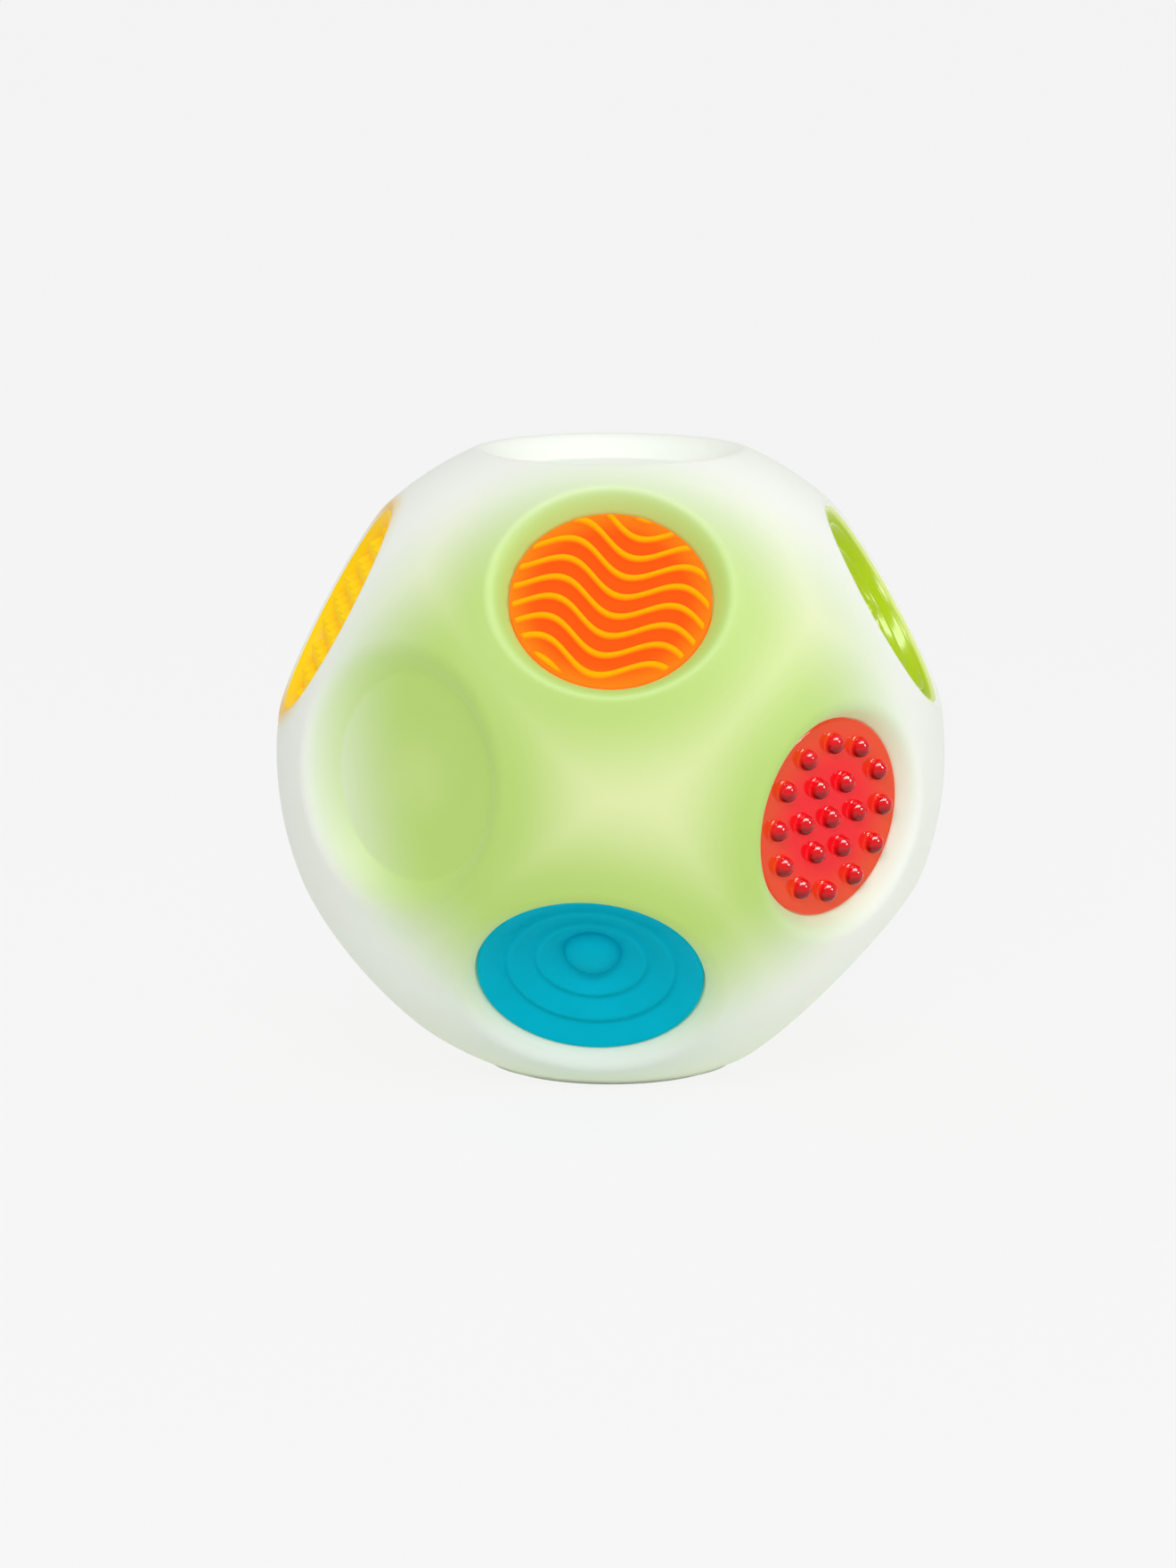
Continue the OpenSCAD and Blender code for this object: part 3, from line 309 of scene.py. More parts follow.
def give_colour(tree, value, socket):
    """Sets a socket from another socket or from a plain colour."""
    if isinstance(value, bpy.types.NodeSocket):
        tree.links.new(value, socket)
    else:
        socket.default_value = (*value, 1)


# Places of a Mix node's sockets, which share their names: colours, then vectors
MIX_COLOURS = (6, 7)
MIX_COLOUR_RESULT = 2
MIX_VECTORS = (4, 5)
MIX_VECTOR_RESULT = 1


def mix_colours(tree, factor, first, second):
    """Blends two colours, each a socket or a plain colour, and returns the result's socket."""
    node = add_node(tree, "ShaderNodeMix", data_type="RGBA")
    tree.links.new(factor, node.inputs[0])
    give_colour(tree, first, node.inputs[MIX_COLOURS[0]])
    give_colour(tree, second, node.inputs[MIX_COLOURS[1]])
    return node.outputs[MIX_COLOUR_RESULT]


def map_range(tree, value, low, high, to_low=0.0, to_high=1.0):
    """Turns a span of values smoothly into another and returns the result's socket."""
    node = add_node(tree, "ShaderNodeMapRange", interpolation_type="SMOOTHSTEP")
    tree.links.new(value, node.inputs["Value"])
    for name, number in (("From Min", low), ("From Max", high), ("To Min", to_low), ("To Max", to_high)):
        node.inputs[name].default_value = number
    return node.outputs["Result"]


def moulded_grain():
    """Node group for mouldings: faint patches of colour, uneven gloss and a fine grain."""
    patch_from = 0.35
    patch_to = 0.7
    group = bpy.data.node_groups.new("Moulded grain", "ShaderNodeTree")
    for name, kind in (("Colour", "Color"), ("Patch colour", "Color"), ("Patch scale", "Float"),
                       ("Grain scale", "Float"), ("Smoothest", "Float"), ("Roughest", "Float")):
        group.interface.new_socket(name, in_out="INPUT", socket_type="NodeSocket" + kind)
    for name, kind in (("Colour", "Color"), ("Roughness", "Float"), ("Grain", "Float")):
        group.interface.new_socket(name, in_out="OUTPUT", socket_type="NodeSocket" + kind)
    given = add_node(group, "NodeGroupInput")
    made = add_node(group, "NodeGroupOutput")
    place = add_node(group, "ShaderNodeTexCoord")
    patches = add_node(group, "ShaderNodeTexNoise")
    grain = add_node(group, "ShaderNodeTexNoise")
    for texture, scale in ((patches, "Patch scale"), (grain, "Grain scale")):
        group.links.new(place.outputs["Object"], texture.inputs["Vector"])
        group.links.new(given.outputs[scale], texture.inputs["Scale"])
    patchy = map_range(group, patches.outputs["Fac"], patch_from, patch_to)
    colour = mix_colours(group, patchy, given.outputs["Colour"], given.outputs["Patch colour"])
    gloss = add_node(group, "ShaderNodeMapRange")
    group.links.new(patches.outputs["Fac"], gloss.inputs["Value"])
    group.links.new(given.outputs["Smoothest"], gloss.inputs["To Min"])
    group.links.new(given.outputs["Roughest"], gloss.inputs["To Max"])
    group.links.new(colour, made.inputs["Colour"])
    group.links.new(gloss.outputs["Result"], made.inputs["Roughness"])
    group.links.new(grain.outputs["Fac"], made.inputs["Grain"])
    return group


MOULDED_GRAIN = moulded_grain()
GRAIN_DEPTH = 0.0002


def lay_grain(tree, shader, colour, patch, scales, gloss, relief):
    """Gives a shader its colours, patch and grain scales, span of roughness and strength of the grain."""
    node = add_node(tree, "ShaderNodeGroup", node_tree=MOULDED_GRAIN)
    names = ("Patch scale", "Grain scale", "Smoothest", "Roughest")
    for name, value in zip(names, (*scales, *gloss)):
        node.inputs[name].default_value = value
    give_colour(tree, colour, node.inputs["Colour"])
    give_colour(tree, patch, node.inputs["Patch colour"])
    bump = add_node(tree, "ShaderNodeBump")
    bump.inputs["Strength"].default_value = relief
    bump.inputs["Distance"].default_value = GRAIN_DEPTH
    tree.links.new(node.outputs["Grain"], bump.inputs["Height"])
    tree.links.new(node.outputs["Colour"], shader.inputs["Base Color"])
    tree.links.new(node.outputs["Roughness"], shader.inputs["Roughness"])
    tree.links.new(bump.outputs["Normal"], shader.inputs["Normal"])


def shine(tree, shader, colour, strength):
    """Lets a surface glow, as if lit from inside."""
    give_colour(tree, colour, shader.inputs["Emission Color"])
    shader.inputs["Emission Strength"].default_value = strength


def ball_facing(tree):
    """Socket that grows from zero at the ball's middle to one at its outline, a little less in dimples."""
    round_share = 0.84
    place = add_node(tree, "ShaderNodeTexCoord")
    outward = add_node(tree, "ShaderNodeVectorMath", operation="SUBTRACT")
    outward.inputs[1].default_value = (0, 0, BALL_Z)
    turned = add_node(tree, "ShaderNodeVectorTransform", vector_type="NORMAL")
    turned.convert_from = "OBJECT"
    turned.convert_to = "WORLD"
    unit = add_node(tree, "ShaderNodeVectorMath", operation="NORMALIZE")
    surface = add_node(tree, "ShaderNodeNewGeometry")
    between = add_node(tree, "ShaderNodeMix", data_type="VECTOR")
    between.inputs[0].default_value = round_share
    whole = add_node(tree, "ShaderNodeVectorMath", operation="NORMALIZE")
    sheen = add_node(tree, "ShaderNodeLayerWeight")
    sheen.inputs["Blend"].default_value = 0.5
    tree.links.new(place.outputs["Object"], outward.inputs[0])
    tree.links.new(outward.outputs["Vector"], turned.inputs["Vector"])
    tree.links.new(turned.outputs["Vector"], unit.inputs[0])
    tree.links.new(surface.outputs["Normal"], between.inputs[MIX_VECTORS[0]])
    tree.links.new(unit.outputs["Vector"], between.inputs[MIX_VECTORS[1]])
    tree.links.new(between.outputs[MIX_VECTOR_RESULT], whole.inputs[0])
    tree.links.new(whole.outputs["Vector"], sheen.inputs["Normal"])
    return sheen.outputs["Facing"]


def milky_shell():
    """Milky plastic with green lamps behind it, and the white sheen of its haze towards the outline, with a
    painted yellow glow beside the pyramid pad.
    """
    near_dimple = (0.40, 0.565, 0.145)
    wide_land = (0.60, 0.68, 0.33)
    haze = (0.90, 0.92, 0.89)
    yellow_glow_colour = (0.95, 0.60, 0.18)
    sheen_from = 0.17
    sheen_to = 0.60
    sheen_most = 0.92
    dish_clearer = 0.11
    material, tree, shader = new_material("milky shell")
    shader.inputs["Specular IOR Level"].default_value = 0.2
    glow = add_node(tree, "ShaderNodeAttribute", attribute_name="pale_glow")
    colour = mix_colours(tree, glow.outputs["Fac"], near_dimple, wide_land)
    lay_grain(tree, shader, colour, colour, (30.0, 2600.0), (0.48, 0.58), 0.03)
    shine(tree, shader, colour, 0.36)
    white = add_node(tree, "ShaderNodeBsdfPrincipled")
    # Painted glow of the yellow pad, laid into the haze's colour and its emission
    yellow_glow_share = add_node(tree, "ShaderNodeAttribute", attribute_name="yellow_painted_glow")
    haze_and_yellow_glow = mix_colours(tree, yellow_glow_share.outputs["Fac"], haze, yellow_glow_colour)
    white.inputs["Roughness"].default_value = 0.6
    white.inputs["Specular IOR Level"].default_value = 0.1
    tree.links.new(haze_and_yellow_glow, white.inputs["Base Color"])
    shine(tree, white, haze_and_yellow_glow, 0.18)
    mix = add_node(tree, "ShaderNodeMixShader")
    dish = add_node(tree, "ShaderNodeAttribute", attribute_name="in_dish")
    less = add_node(tree, "ShaderNodeMath", operation="MULTIPLY_ADD")
    less.inputs[1].default_value = -dish_clearer
    tree.links.new(dish.outputs["Fac"], less.inputs[0])
    tree.links.new(ball_facing(tree), less.inputs[2])
    sheen = map_range(tree, less.outputs["Value"], sheen_from, sheen_to, 0.0, sheen_most)
    tree.links.new(sheen, mix.inputs[0])
    tree.links.new(shader.outputs["BSDF"], mix.inputs[1])
    tree.links.new(white.outputs["BSDF"], mix.inputs[2])
    tree.links.new(mix.outputs[0], tree.nodes["Material Output"].inputs["Surface"])
    return material


def add_piece(name, data, material, slot, *stands_for):
    """Makes a piece from its mesh: its finish and the nodes it stands for. slot is not used."""
    data.materials.append(material)
    piece = bpy.data.objects.new(name, data)
    bpy.context.scene.collection.objects.link(piece)
    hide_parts(*stands_for)
    return piece


shell = add_piece("ball_shell_milky", shell_data, milky_shell(), "milky_shell", "ball_shell")
wall = shell.modifiers.new("wall", "SOLIDIFY")
wall.thickness = SHELL_WALL
wall.offset = -1
wall.use_even_offset = False
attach(shell, "ball")

# Texture pads
# Soft translucent mouldings, one to a dimple. Each is a round disc with its own pattern on top and a
# snap stem behind, which is pushed through the floor of the dimple.
PAD_EDGE_ROUND = 0.0005
PAD_EDGE_STEPS = 6
STEM_END_H = 0.0580
PAD_TURNS = 300
PAD_RING_STEP = 0.00027
PAD_SHARP = 70
PAD_SCALES = (160.0, 3200.0)


def pad_mesh(name, rise):
    """Mesh of a pad on its own axis. rise gives the pattern's height above the pad's top at (x, y)."""
    mesh = bmesh.new()
    inner_r = PAD_R - PAD_EDGE_ROUND
    profile = [(0, STEM_END_H), (STEM_R, STEM_END_H), (STEM_R, FLOOR_H), (PAD_R, FLOOR_H)]
    for i in range(PAD_EDGE_STEPS + 1):
        turn = math.pi / 2 * i / PAD_EDGE_STEPS
        profile.append((inner_r + PAD_EDGE_ROUND * math.cos(turn),
                        PAD_TOP_H - PAD_EDGE_ROUND + PAD_EDGE_ROUND * math.sin(turn)))
    count = round(inner_r / PAD_RING_STEP)
    profile += [(inner_r * (count - i) / count, PAD_TOP_H) for i in range(1, count)]
    profile.append((0, PAD_TOP_H))
    rings = revolve(mesh, profile, PAD_TURNS)
    for ring in rings[-count:]:
        for corner in ring:
            corner.co.z += rise(corner.co.x, corner.co.y)
    bmesh.ops.recalc_face_normals(mesh, faces=mesh.faces)
    return write_mesh(mesh, bpy.data.meshes.new(name), PAD_SHARP)


def local_place(tree):
    """Sockets of a piece's own x, y and z."""
    place = add_node(tree, "ShaderNodeTexCoord")
    split = add_node(tree, "ShaderNodeSeparateXYZ")
    tree.links.new(place.outputs["Object"], split.inputs["Vector"])
    return split.outputs


def from_axis(tree):
    """Socket of the distance from a piece's own axis."""
    across = local_place(tree)
    flat_place = add_node(tree, "ShaderNodeCombineXYZ")
    tree.links.new(across["X"], flat_place.inputs["X"])
    tree.links.new(across["Y"], flat_place.inputs["Y"])
    length = add_node(tree, "ShaderNodeVectorMath", operation="LENGTH")
    tree.links.new(flat_place.outputs["Vector"], length.inputs[0])
    return length.outputs["Value"]


def seat_pad(name, data, material, slot, angles, node):
    """Puts a pad in its dimple."""
    pad = add_piece(name, data, material, slot, node)
    pad.matrix_world = in_dimple(angles)
    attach(pad, "ball")


# Wave pads
# Orange pads with soft wavy ridges, one at the upper front and one at the back. The ridges are thin and
# lighter, because the lamps shine through them.
RIDGE_PITCH = 0.00507
RIDGE_W = 0.0017
RIDGE_H = 0.0012
RIDGE_FOOT = 0.0003
RIDGE_CURVE = 1.3
WAVE_LENGTH = 0.026
WAVE_RISE = 0.0031
WAVE_TURN = math.radians(-16.6)
WAVE_SHIFT = 0.00146
RIDGE_SHIFT = -0.00087
RIDGE_MARGIN = 0.0004


def wave_rise(x, y):
    """Height of the wave pattern."""
    along = x * math.cos(WAVE_TURN) + y * math.sin(WAVE_TURN)
    across = y * math.cos(WAVE_TURN) - x * math.sin(WAVE_TURN)
    wave = RIDGE_SHIFT - WAVE_RISE * math.cos(2 * math.pi * (along - WAVE_SHIFT) / WAVE_LENGTH)
    offset = across - wave
    offset -= RIDGE_PITCH * round(offset / RIDGE_PITCH)
    share = abs(offset) / (RIDGE_W / 2 + RIDGE_FOOT)
    if share >= 1:
        return 0
    edge = smooth_step(PAD_R - RIDGE_MARGIN - math.hypot(x, y), 0, RIDGE_W / 3)
    return RIDGE_H * (1 - share ** 2) ** RIDGE_CURVE * edge


def orange_pad():
    """Translucent orange elastomer: deep in the valleys, amber on the ridges and at the edge."""
    valley = (0.95, 0.105, 0.008)
    ridge = (0.98, 0.42, 0.003)
    edge = (0.96, 0.21, 0.010)
    edge_from = 0.72 * PAD_R
    material, tree, shader = new_material("orange pad")
    shader.inputs["Specular IOR Level"].default_value = 0.0
    height = local_place(tree)["Z"]
    lift = map_range(tree, height, PAD_TOP_H + RIDGE_H * 0.1, PAD_TOP_H + RIDGE_H * 0.9)
    rim = map_range(tree, from_axis(tree), edge_from, PAD_R)
    base = mix_colours(tree, rim, valley, edge)
    colour = mix_colours(tree, lift, base, ridge)
    lay_grain(tree, shader, colour, colour, PAD_SCALES, (0.42, 0.52), 0.05)
    shine(tree, shader, colour, 0.22)
    return material


wave_data = pad_mesh("wave_pad_soft", wave_rise)
ORANGE_PAD = orange_pad()
seat_pad("wave_pad_soft", wave_data, ORANGE_PAD, "orange_pad", WAVE_ANGLES, "wave_pad")
seat_pad("wave_pad_back_soft", wave_data.copy(), ORANGE_PAD, "orange_pad", WAVE_BACK_ANGLES,
         "wave_pad_back")

# Bump pads
# Red pads with rings of round glossy nubs, one at the right front and one at the back. The nubs are
# thick, so less of the lamps' light comes through them, and each carries painted shade on its lower side.
NUB_R = 0.0023
NUB_H = 0.003
NUB_RING = 0.0084
NUB_TURN = math.radians(3)
NUB_SINK = 0.0002
NUB_FOOT = 0.0005
NUB_RINGS = 2
NUB_TURNS = 40
NUB_FOOT_STEPS = 6
NUB_HEAD_STEPS = 16


def nub_profile():
    """Half section of a nub: a hollow foot that runs into a round head."""
    middle = NUB_H - NUB_R
    waist_turn = math.radians(-4)
    foot_angle = 140
    waist_angle = 92
    waist = (NUB_R * math.cos(waist_turn), middle + NUB_R * math.sin(waist_turn))
    foot = bend((waist[0] + NUB_FOOT, -NUB_SINK), foot_angle, waist, waist_angle, NUB_FOOT_STEPS)
    head = []
    for i in range(1, NUB_HEAD_STEPS):
        turn = waist_turn + (math.pi / 2 - waist_turn) * i / NUB_HEAD_STEPS
        head.append((NUB_R * math.cos(turn), middle + NUB_R * math.sin(turn)))
    return foot + head + [(0, NUB_H)]


def bump_mesh(name):
    """A flat pad with its nubs."""
    data = pad_mesh(name, lambda x, y: 0)
    mesh = bmesh.new()
    mesh.from_mesh(data)
    places = [(0, 0)]
    for ring in range(1, NUB_RINGS + 1):
        count = 6 * ring
        for i in range(count):
            turn = NUB_TURN + 2 * math.pi * i / count
            places.append((ring * NUB_RING * math.cos(turn), ring * NUB_RING * math.sin(turn)))
    for x, y in places:
        revolve(mesh, nub_profile(), NUB_TURNS, Matrix.Translation((x, y, PAD_TOP_H)))
    bmesh.ops.recalc_face_normals(mesh, faces=mesh.faces)
    return write_mesh(mesh, data)


def red_pad():
    """Translucent red elastomer: crimson middle, orange edge, and nubs with painted shading, dark on their
    lower side and lighter on their upper side.
    """
    middle = (0.86, 0.005, 0.012)
    edge = (0.76, 0.060, 0.008)
    nub_painted_shade = (0.17, 0.001, 0.002)
    nub_painted_light = (0.72, 0.006, 0.010)
    painted_shade_below = -0.75
    painted_light_above = 0.55
    material, tree, shader = new_material("red pad")
    shader.inputs["Specular IOR Level"].default_value = 0.34
    rim = map_range(tree, from_axis(tree), PAD_R * 0.45, PAD_R * 0.95)
    base = mix_colours(tree, rim, middle, edge)
    height = local_place(tree)["Z"]
    lift = map_range(tree, height, PAD_TOP_H + NUB_H * 0.04, PAD_TOP_H + NUB_H * 0.4)
    # Painted shade: a nub turns dark where its surface faces down in the pad's own frame and lighter where
    # it faces up
    surface = add_node(tree, "ShaderNodeNewGeometry")
    own = add_node(tree, "ShaderNodeVectorTransform", vector_type="NORMAL")
    own.convert_from = "WORLD"
    own.convert_to = "OBJECT"
    parts = add_node(tree, "ShaderNodeSeparateXYZ")
    tree.links.new(surface.outputs["Normal"], own.inputs["Vector"])
    tree.links.new(own.outputs["Vector"], parts.inputs["Vector"])
    upper = map_range(tree, parts.outputs["Y"], painted_shade_below, painted_light_above)
    head = mix_colours(tree, upper, nub_painted_shade, nub_painted_light)
    colour = mix_colours(tree, lift, base, head)
    lay_grain(tree, shader, colour, colour, PAD_SCALES, (0.06, 0.12), 0.03)
    shine(tree, shader, colour, 0.22)
    return material


bump_data = bump_mesh("bump_pad_soft")
RED_PAD = red_pad()
seat_pad("bump_pad_soft", bump_data, RED_PAD, "red_pad", BUMP_ANGLES, "bump_pad")
seat_pad("bump_pad_back_soft", bump_data.copy(), RED_PAD, "red_pad", BUMP_BACK_ANGLES, "bump_pad_back")

# Ring bowl pad
# Lime pad shaped as a shallow bowl, with a lip, round ring ridges and a knob in the middle. A thin flange
# lines the wall of its dimple nearly up to the rim.
PAD_LIP_R = 0.0254
PAD_LIP_RISE = 0.0030
LINING = 0.0003
BOWL_LIP_H = 0.0023
BOWL_LIP_W = 0.0016
BOWL_LIP_CURVE = 4
BOWL_STEP = 0.0007
BOWL_STEP_RUN = (-0.0001, 0.0003)
BOWL_RIDGE_R = 0.0009
BOWL_RINGS = (0.68 * PAD_R, 0.38 * PAD_R)
BOWL_KNOB_R = 0.16 * PAD_R


def bowl_rise(x, y):
    """Height of the bowl's floor, ring ridges, knob and lip."""
    radius = math.hypot(x, y)
    floor = -sum(BOWL_STEP * smooth_step(ring - radius, *BOWL_STEP_RUN) for ring in BOWL_RINGS)
    height = floor
    for k, ring in enumerate(BOWL_RINGS):
        off = abs(radius - ring - BOWL_RIDGE_R)
        if off < BOWL_RIDGE_R:
            height = max(height, math.sqrt(BOWL_RIDGE_R ** 2 - off ** 2) - BOWL_STEP * k)
    if radius < BOWL_KNOB_R:
        height = max(height, floor + math.sqrt(BOWL_KNOB_R ** 2 - radius ** 2))
    off = abs(radius - (PAD_R - BOWL_LIP_W / 2)) / (BOWL_LIP_W / 2)
    if off < 1:
        height = max(height, BOWL_LIP_H * math.sqrt(1 - off ** BOWL_LIP_CURVE))
    return height


def line_wall(data):
    """Adds a thin flange to a pad's mesh that lines the wall of its dimple, out to PAD_LIP_R."""
    slope = soft_rim((SEAT_R, LIP_H), RIM_ANGLE, PAD_BLEND_R)
    path = [Vector(point) for point in slope if point[0] < PAD_LIP_R]
    foot = Vector((PAD_R - PAD_EDGE_ROUND, PAD_TOP_H - PAD_EDGE_ROUND))
    upper = []
    lower = []
    for before, here, after in zip(path, path[1:], path[2:]):
        along = (after - before).normalized()
        out = Vector((-along.y, along.x))
        upper.append(here + out * LINING)
        lower.append(here - out * LINING / 4)
    mesh = bmesh.new()
    mesh.from_mesh(data)
    rings = revolve(mesh, [foot] + upper + lower[::-1] + [foot], PAD_TURNS)
    bmesh.ops.remove_doubles(mesh, verts=rings[0] + rings[-1], dist=LINING / 100)
    bmesh.ops.recalc_face_normals(mesh, faces=mesh.faces)
    return write_mesh(mesh, data, PAD_SHARP)


def lime_pad():
    """Translucent lime elastomer, glossy, lighter at its thin lip."""
    deep = (0.42, 0.58, 0.006)
    thin = (0.70, 0.78, 0.28)
    material, tree, shader = new_material("lime pad")
    shader.inputs["Specular IOR Level"].default_value = 0.2
    height = local_place(tree)["Z"]
    lift = map_range(tree, height, PAD_TOP_H + BOWL_LIP_H, PAD_TOP_H + PAD_LIP_RISE)
    colour = mix_colours(tree, lift, deep, thin)
    lay_grain(tree, shader, colour, colour, PAD_SCALES, (0.18, 0.26), 0.03)
    shine(tree, shader, colour, 0.2)
    return material


bowl_data = line_wall(pad_mesh("ring_bowl_pad_soft", bowl_rise))
seat_pad("ring_bowl_pad_soft", bowl_data, lime_pad(), "lime_pad", BOWL_ANGLES, "ring_bowl_pad")

# Pyramid pad
# Yellow pad with a close field of four-sided pyramids. It lines the wall of its dimple as well.
PYRAMID_PITCH = 0.0076
PYRAMID_H = 0.0036
PYRAMID_TURN = math.radians(45)
PYRAMID_LAND = 0.0003
PYRAMID_MARGIN = 0.0005


def pyramid_rise(x, y):
    """Height of the pyramid field."""
    along = x * math.cos(PYRAMID_TURN) + y * math.sin(PYRAMID_TURN)
    across = y * math.cos(PYRAMID_TURN) - x * math.sin(PYRAMID_TURN)
    along -= PYRAMID_PITCH * round(along / PYRAMID_PITCH)
    across -= PYRAMID_PITCH * round(across / PYRAMID_PITCH)
    off = max(abs(along), abs(across)) / ((PYRAMID_PITCH - PYRAMID_LAND) / 2)
    edge = smooth_step(PAD_R - PYRAMID_MARGIN - math.hypot(x, y), 0, PYRAMID_LAND * 2)
    return PYRAMID_H * max(0, 1 - off) * edge


def yellow_pad():
    """Translucent yellow elastomer, deeper between the pyramids."""
    deep = (0.93, 0.50, 0.0)
    tip = (0.97, 0.64, 0.002)
    material, tree, shader = new_material("yellow pad")
    shader.inputs["Specular IOR Level"].default_value = 0.12
    height = local_place(tree)["Z"]
    lift = map_range(tree, height, PAD_TOP_H, PAD_TOP_H + PYRAMID_H * 0.8)
    colour = mix_colours(tree, lift, deep, tip)
    lay_grain(tree, shader, colour, colour, PAD_SCALES, (0.34, 0.44), 0.04)
    shine(tree, shader, colour, 0.22)
    return material


pyramid_data = line_wall(pad_mesh("pyramid_pad_soft", pyramid_rise))
seat_pad("pyramid_pad_soft", pyramid_data, yellow_pad(), "yellow_pad", PYRAMID_ANGLES, "pyramid_pad")

# Button cap
# Opaque turquoise plastic, moulded as a stepped bowl with a low knob in its middle. It is pressed into
# its well against a spring, and the hook rim of its guide tube keeps it there. A tier has its share of the
# cap's radius, then its foot and its top as shares of the bowl's dip.
CAP_R = 0.0249
CAP_DIP = 0.0076
CAP_SKIRT = 0.0062
CAP_WALL = 0.002
CAP_EDGE_ROUND = 0.0007
CAP_TIERS = [(0.5, 0.75, 0.59), (0.753, 0.50, 0.34)]
KNOB_SHARE = 0.25
KNOB_H = 0.0036
KNOB_STEPS = 16
TIER_LEAN = 0.0008
TIER_ROUND = 0.0014
GUIDE_R = 0.017
GUIDE_WALL = 0.0016
HOOK_R = 0.0185
HOOK_TOP_H = 0.0565
HOOK_T = 0.0019
PLUNGER_R = 0.0026
PLUNGER_END_H = 0.0553
SPRING_SEAT_R = 0.0106
CAP_TURNS = 128
CAP_SHARP = 70


def round_corners(points, radius, steps=5, most=0.45):
    """Rounds the inner corners of an outline by a radius, or at most a share of the sides beside them."""
    rounded = [points[0]]
    for before, here, after in zip(points, points[1:], points[2:]):
        before, here, after = Vector(before), Vector(here), Vector(after)
        cut = min(radius, most * (here - before).length, most * (after - here).length)
        start = here + (before - here).normalized() * cut
        end = here + (after - here).normalized() * cut
        for i in range(steps + 1):
            t = i / steps
            rounded.append(tuple(start * (1 - t) ** 2 + here * 2 * t * (1 - t) + end * t * t))
    rounded.append(points[-1])
    return rounded


def cap_profile():
    """Half section of the cap, from its plunger out over the guide tube and skirt and in to the knob."""
    bottom_h = CAP_EDGE_H - CAP_SKIRT
    under_h = CAP_EDGE_H - CAP_DIP - CAP_WALL
    under = [(0, PLUNGER_END_H), (PLUNGER_R, PLUNGER_END_H), (PLUNGER_R, under_h), (SPRING_SEAT_R, under_h),
             (GUIDE_R - GUIDE_WALL, CAP_EDGE_H - CAP_DIP * CAP_TIERS[0][1] - CAP_WALL),
             (GUIDE_R - GUIDE_WALL, HOOK_TOP_H - HOOK_T), (HOOK_R, HOOK_TOP_H - HOOK_T),
             (HOOK_R, HOOK_TOP_H), (GUIDE_R, HOOK_TOP_H), (GUIDE_R, bottom_h),
             (CAP_R * CAP_TIERS[1][0], bottom_h),
             (CAP_R - CAP_WALL, CAP_EDGE_H - CAP_EDGE_ROUND - CAP_WALL), (CAP_R - CAP_WALL, bottom_h),
             (CAP_R, bottom_h)]
    tiers = []
    for share, foot, top in reversed(CAP_TIERS):
        tiers += [(CAP_R * share + TIER_LEAN, CAP_EDGE_H - CAP_DIP * foot),
                  (CAP_R * share - TIER_LEAN, CAP_EDGE_H - CAP_DIP * top)]
    knob = []
    for i in range(KNOB_STEPS):
        turn = math.pi / 2 * i / KNOB_STEPS
        knob.append((CAP_R * KNOB_SHARE * math.cos(turn), CAP_EDGE_H - CAP_DIP + KNOB_H * math.sin(turn)))
    knob.append((0, CAP_EDGE_H - CAP_DIP + KNOB_H))
    return round_corners(under + [(CAP_R, CAP_EDGE_H)] + tiers + knob, TIER_ROUND)


def turquoise_cap():
    """Opaque turquoise plastic with a fine matt grain."""
    colour = (0.0, 0.56, 0.75)
    patch = (0.0, 0.54, 0.72)
    material, tree, shader = new_material("turquoise cap")
    shader.inputs["Specular IOR Level"].default_value = 0.04
    lay_grain(tree, shader, colour, patch, (90.0, 2400.0), (0.50, 0.60), 0.05)
    return material


cap_mesh = bmesh.new()
revolve(cap_mesh, cap_profile(), CAP_TURNS)
bmesh.ops.recalc_face_normals(cap_mesh, faces=cap_mesh.faces)
cap_data = write_mesh(cap_mesh, bpy.data.meshes.new("button_cap_stepped"), CAP_SHARP)
cap = add_piece("button_cap_stepped", cap_data, turquoise_cap(), "turquoise_cap", "button_cap")
cap.matrix_world = in_dimple(BUTTON_ANGLES)
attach(cap, "button")


# Module, button works and battery bay
# White plastic for the flange that the ball stands on with its canister, the battery box, its door and
# the button's cup. The switch and the board's parts are black plastic, and seal and leads have soft skins.
def moulded(name, colour, patch, gloss, scales=(60.0, 2200.0), relief=0.05, metallic=0.0, glow=None):
    """A moulding in one colour with faint patches and a fine grain. glow is a colour and its strength."""
    material, tree, shader = new_material(name)
    lay_grain(tree, shader, colour, patch, scales, gloss, relief)
    shader.inputs["Metallic"].default_value = metallic
    if glow:
        shine(tree, shader, *glow)
    return material


def finish_nodes(material, *names):
    """Gives construction pieces their finish."""
    for name in names:
        slots = frame["nodes"][name].data.materials
        slots.clear()
        slots.append(material)


WHITE_PLASTIC = moulded("white plastic", (0.80, 0.82, 0.78), (0.76, 0.78, 0.74), (0.38, 0.5))
finish_nodes(WHITE_PLASTIC, "module_base", "battery_box", "battery_door", "button_cup")
BLACK_PLASTIC = moulded("black plastic", (0.025, 0.025, 0.027), (0.035, 0.035, 0.036), (0.35, 0.5))
finish_nodes(BLACK_PLASTIC, "power_switch", "power_knob", "board_parts")
GREY_RUBBER = moulded("grey rubber", (0.22, 0.22, 0.22), (0.27, 0.27, 0.26), (0.6, 0.75))
finish_nodes(GREY_RUBBER, "mouth_seal", "contact_dome")
LEAD_SKIN = moulded("lead skin", (0.06, 0.06, 0.065), (0.09, 0.09, 0.09), (0.4, 0.55))
finish_nodes(LEAD_SKIN, "button_lead", "battery_leads", "switch_leads", "speaker_leads")


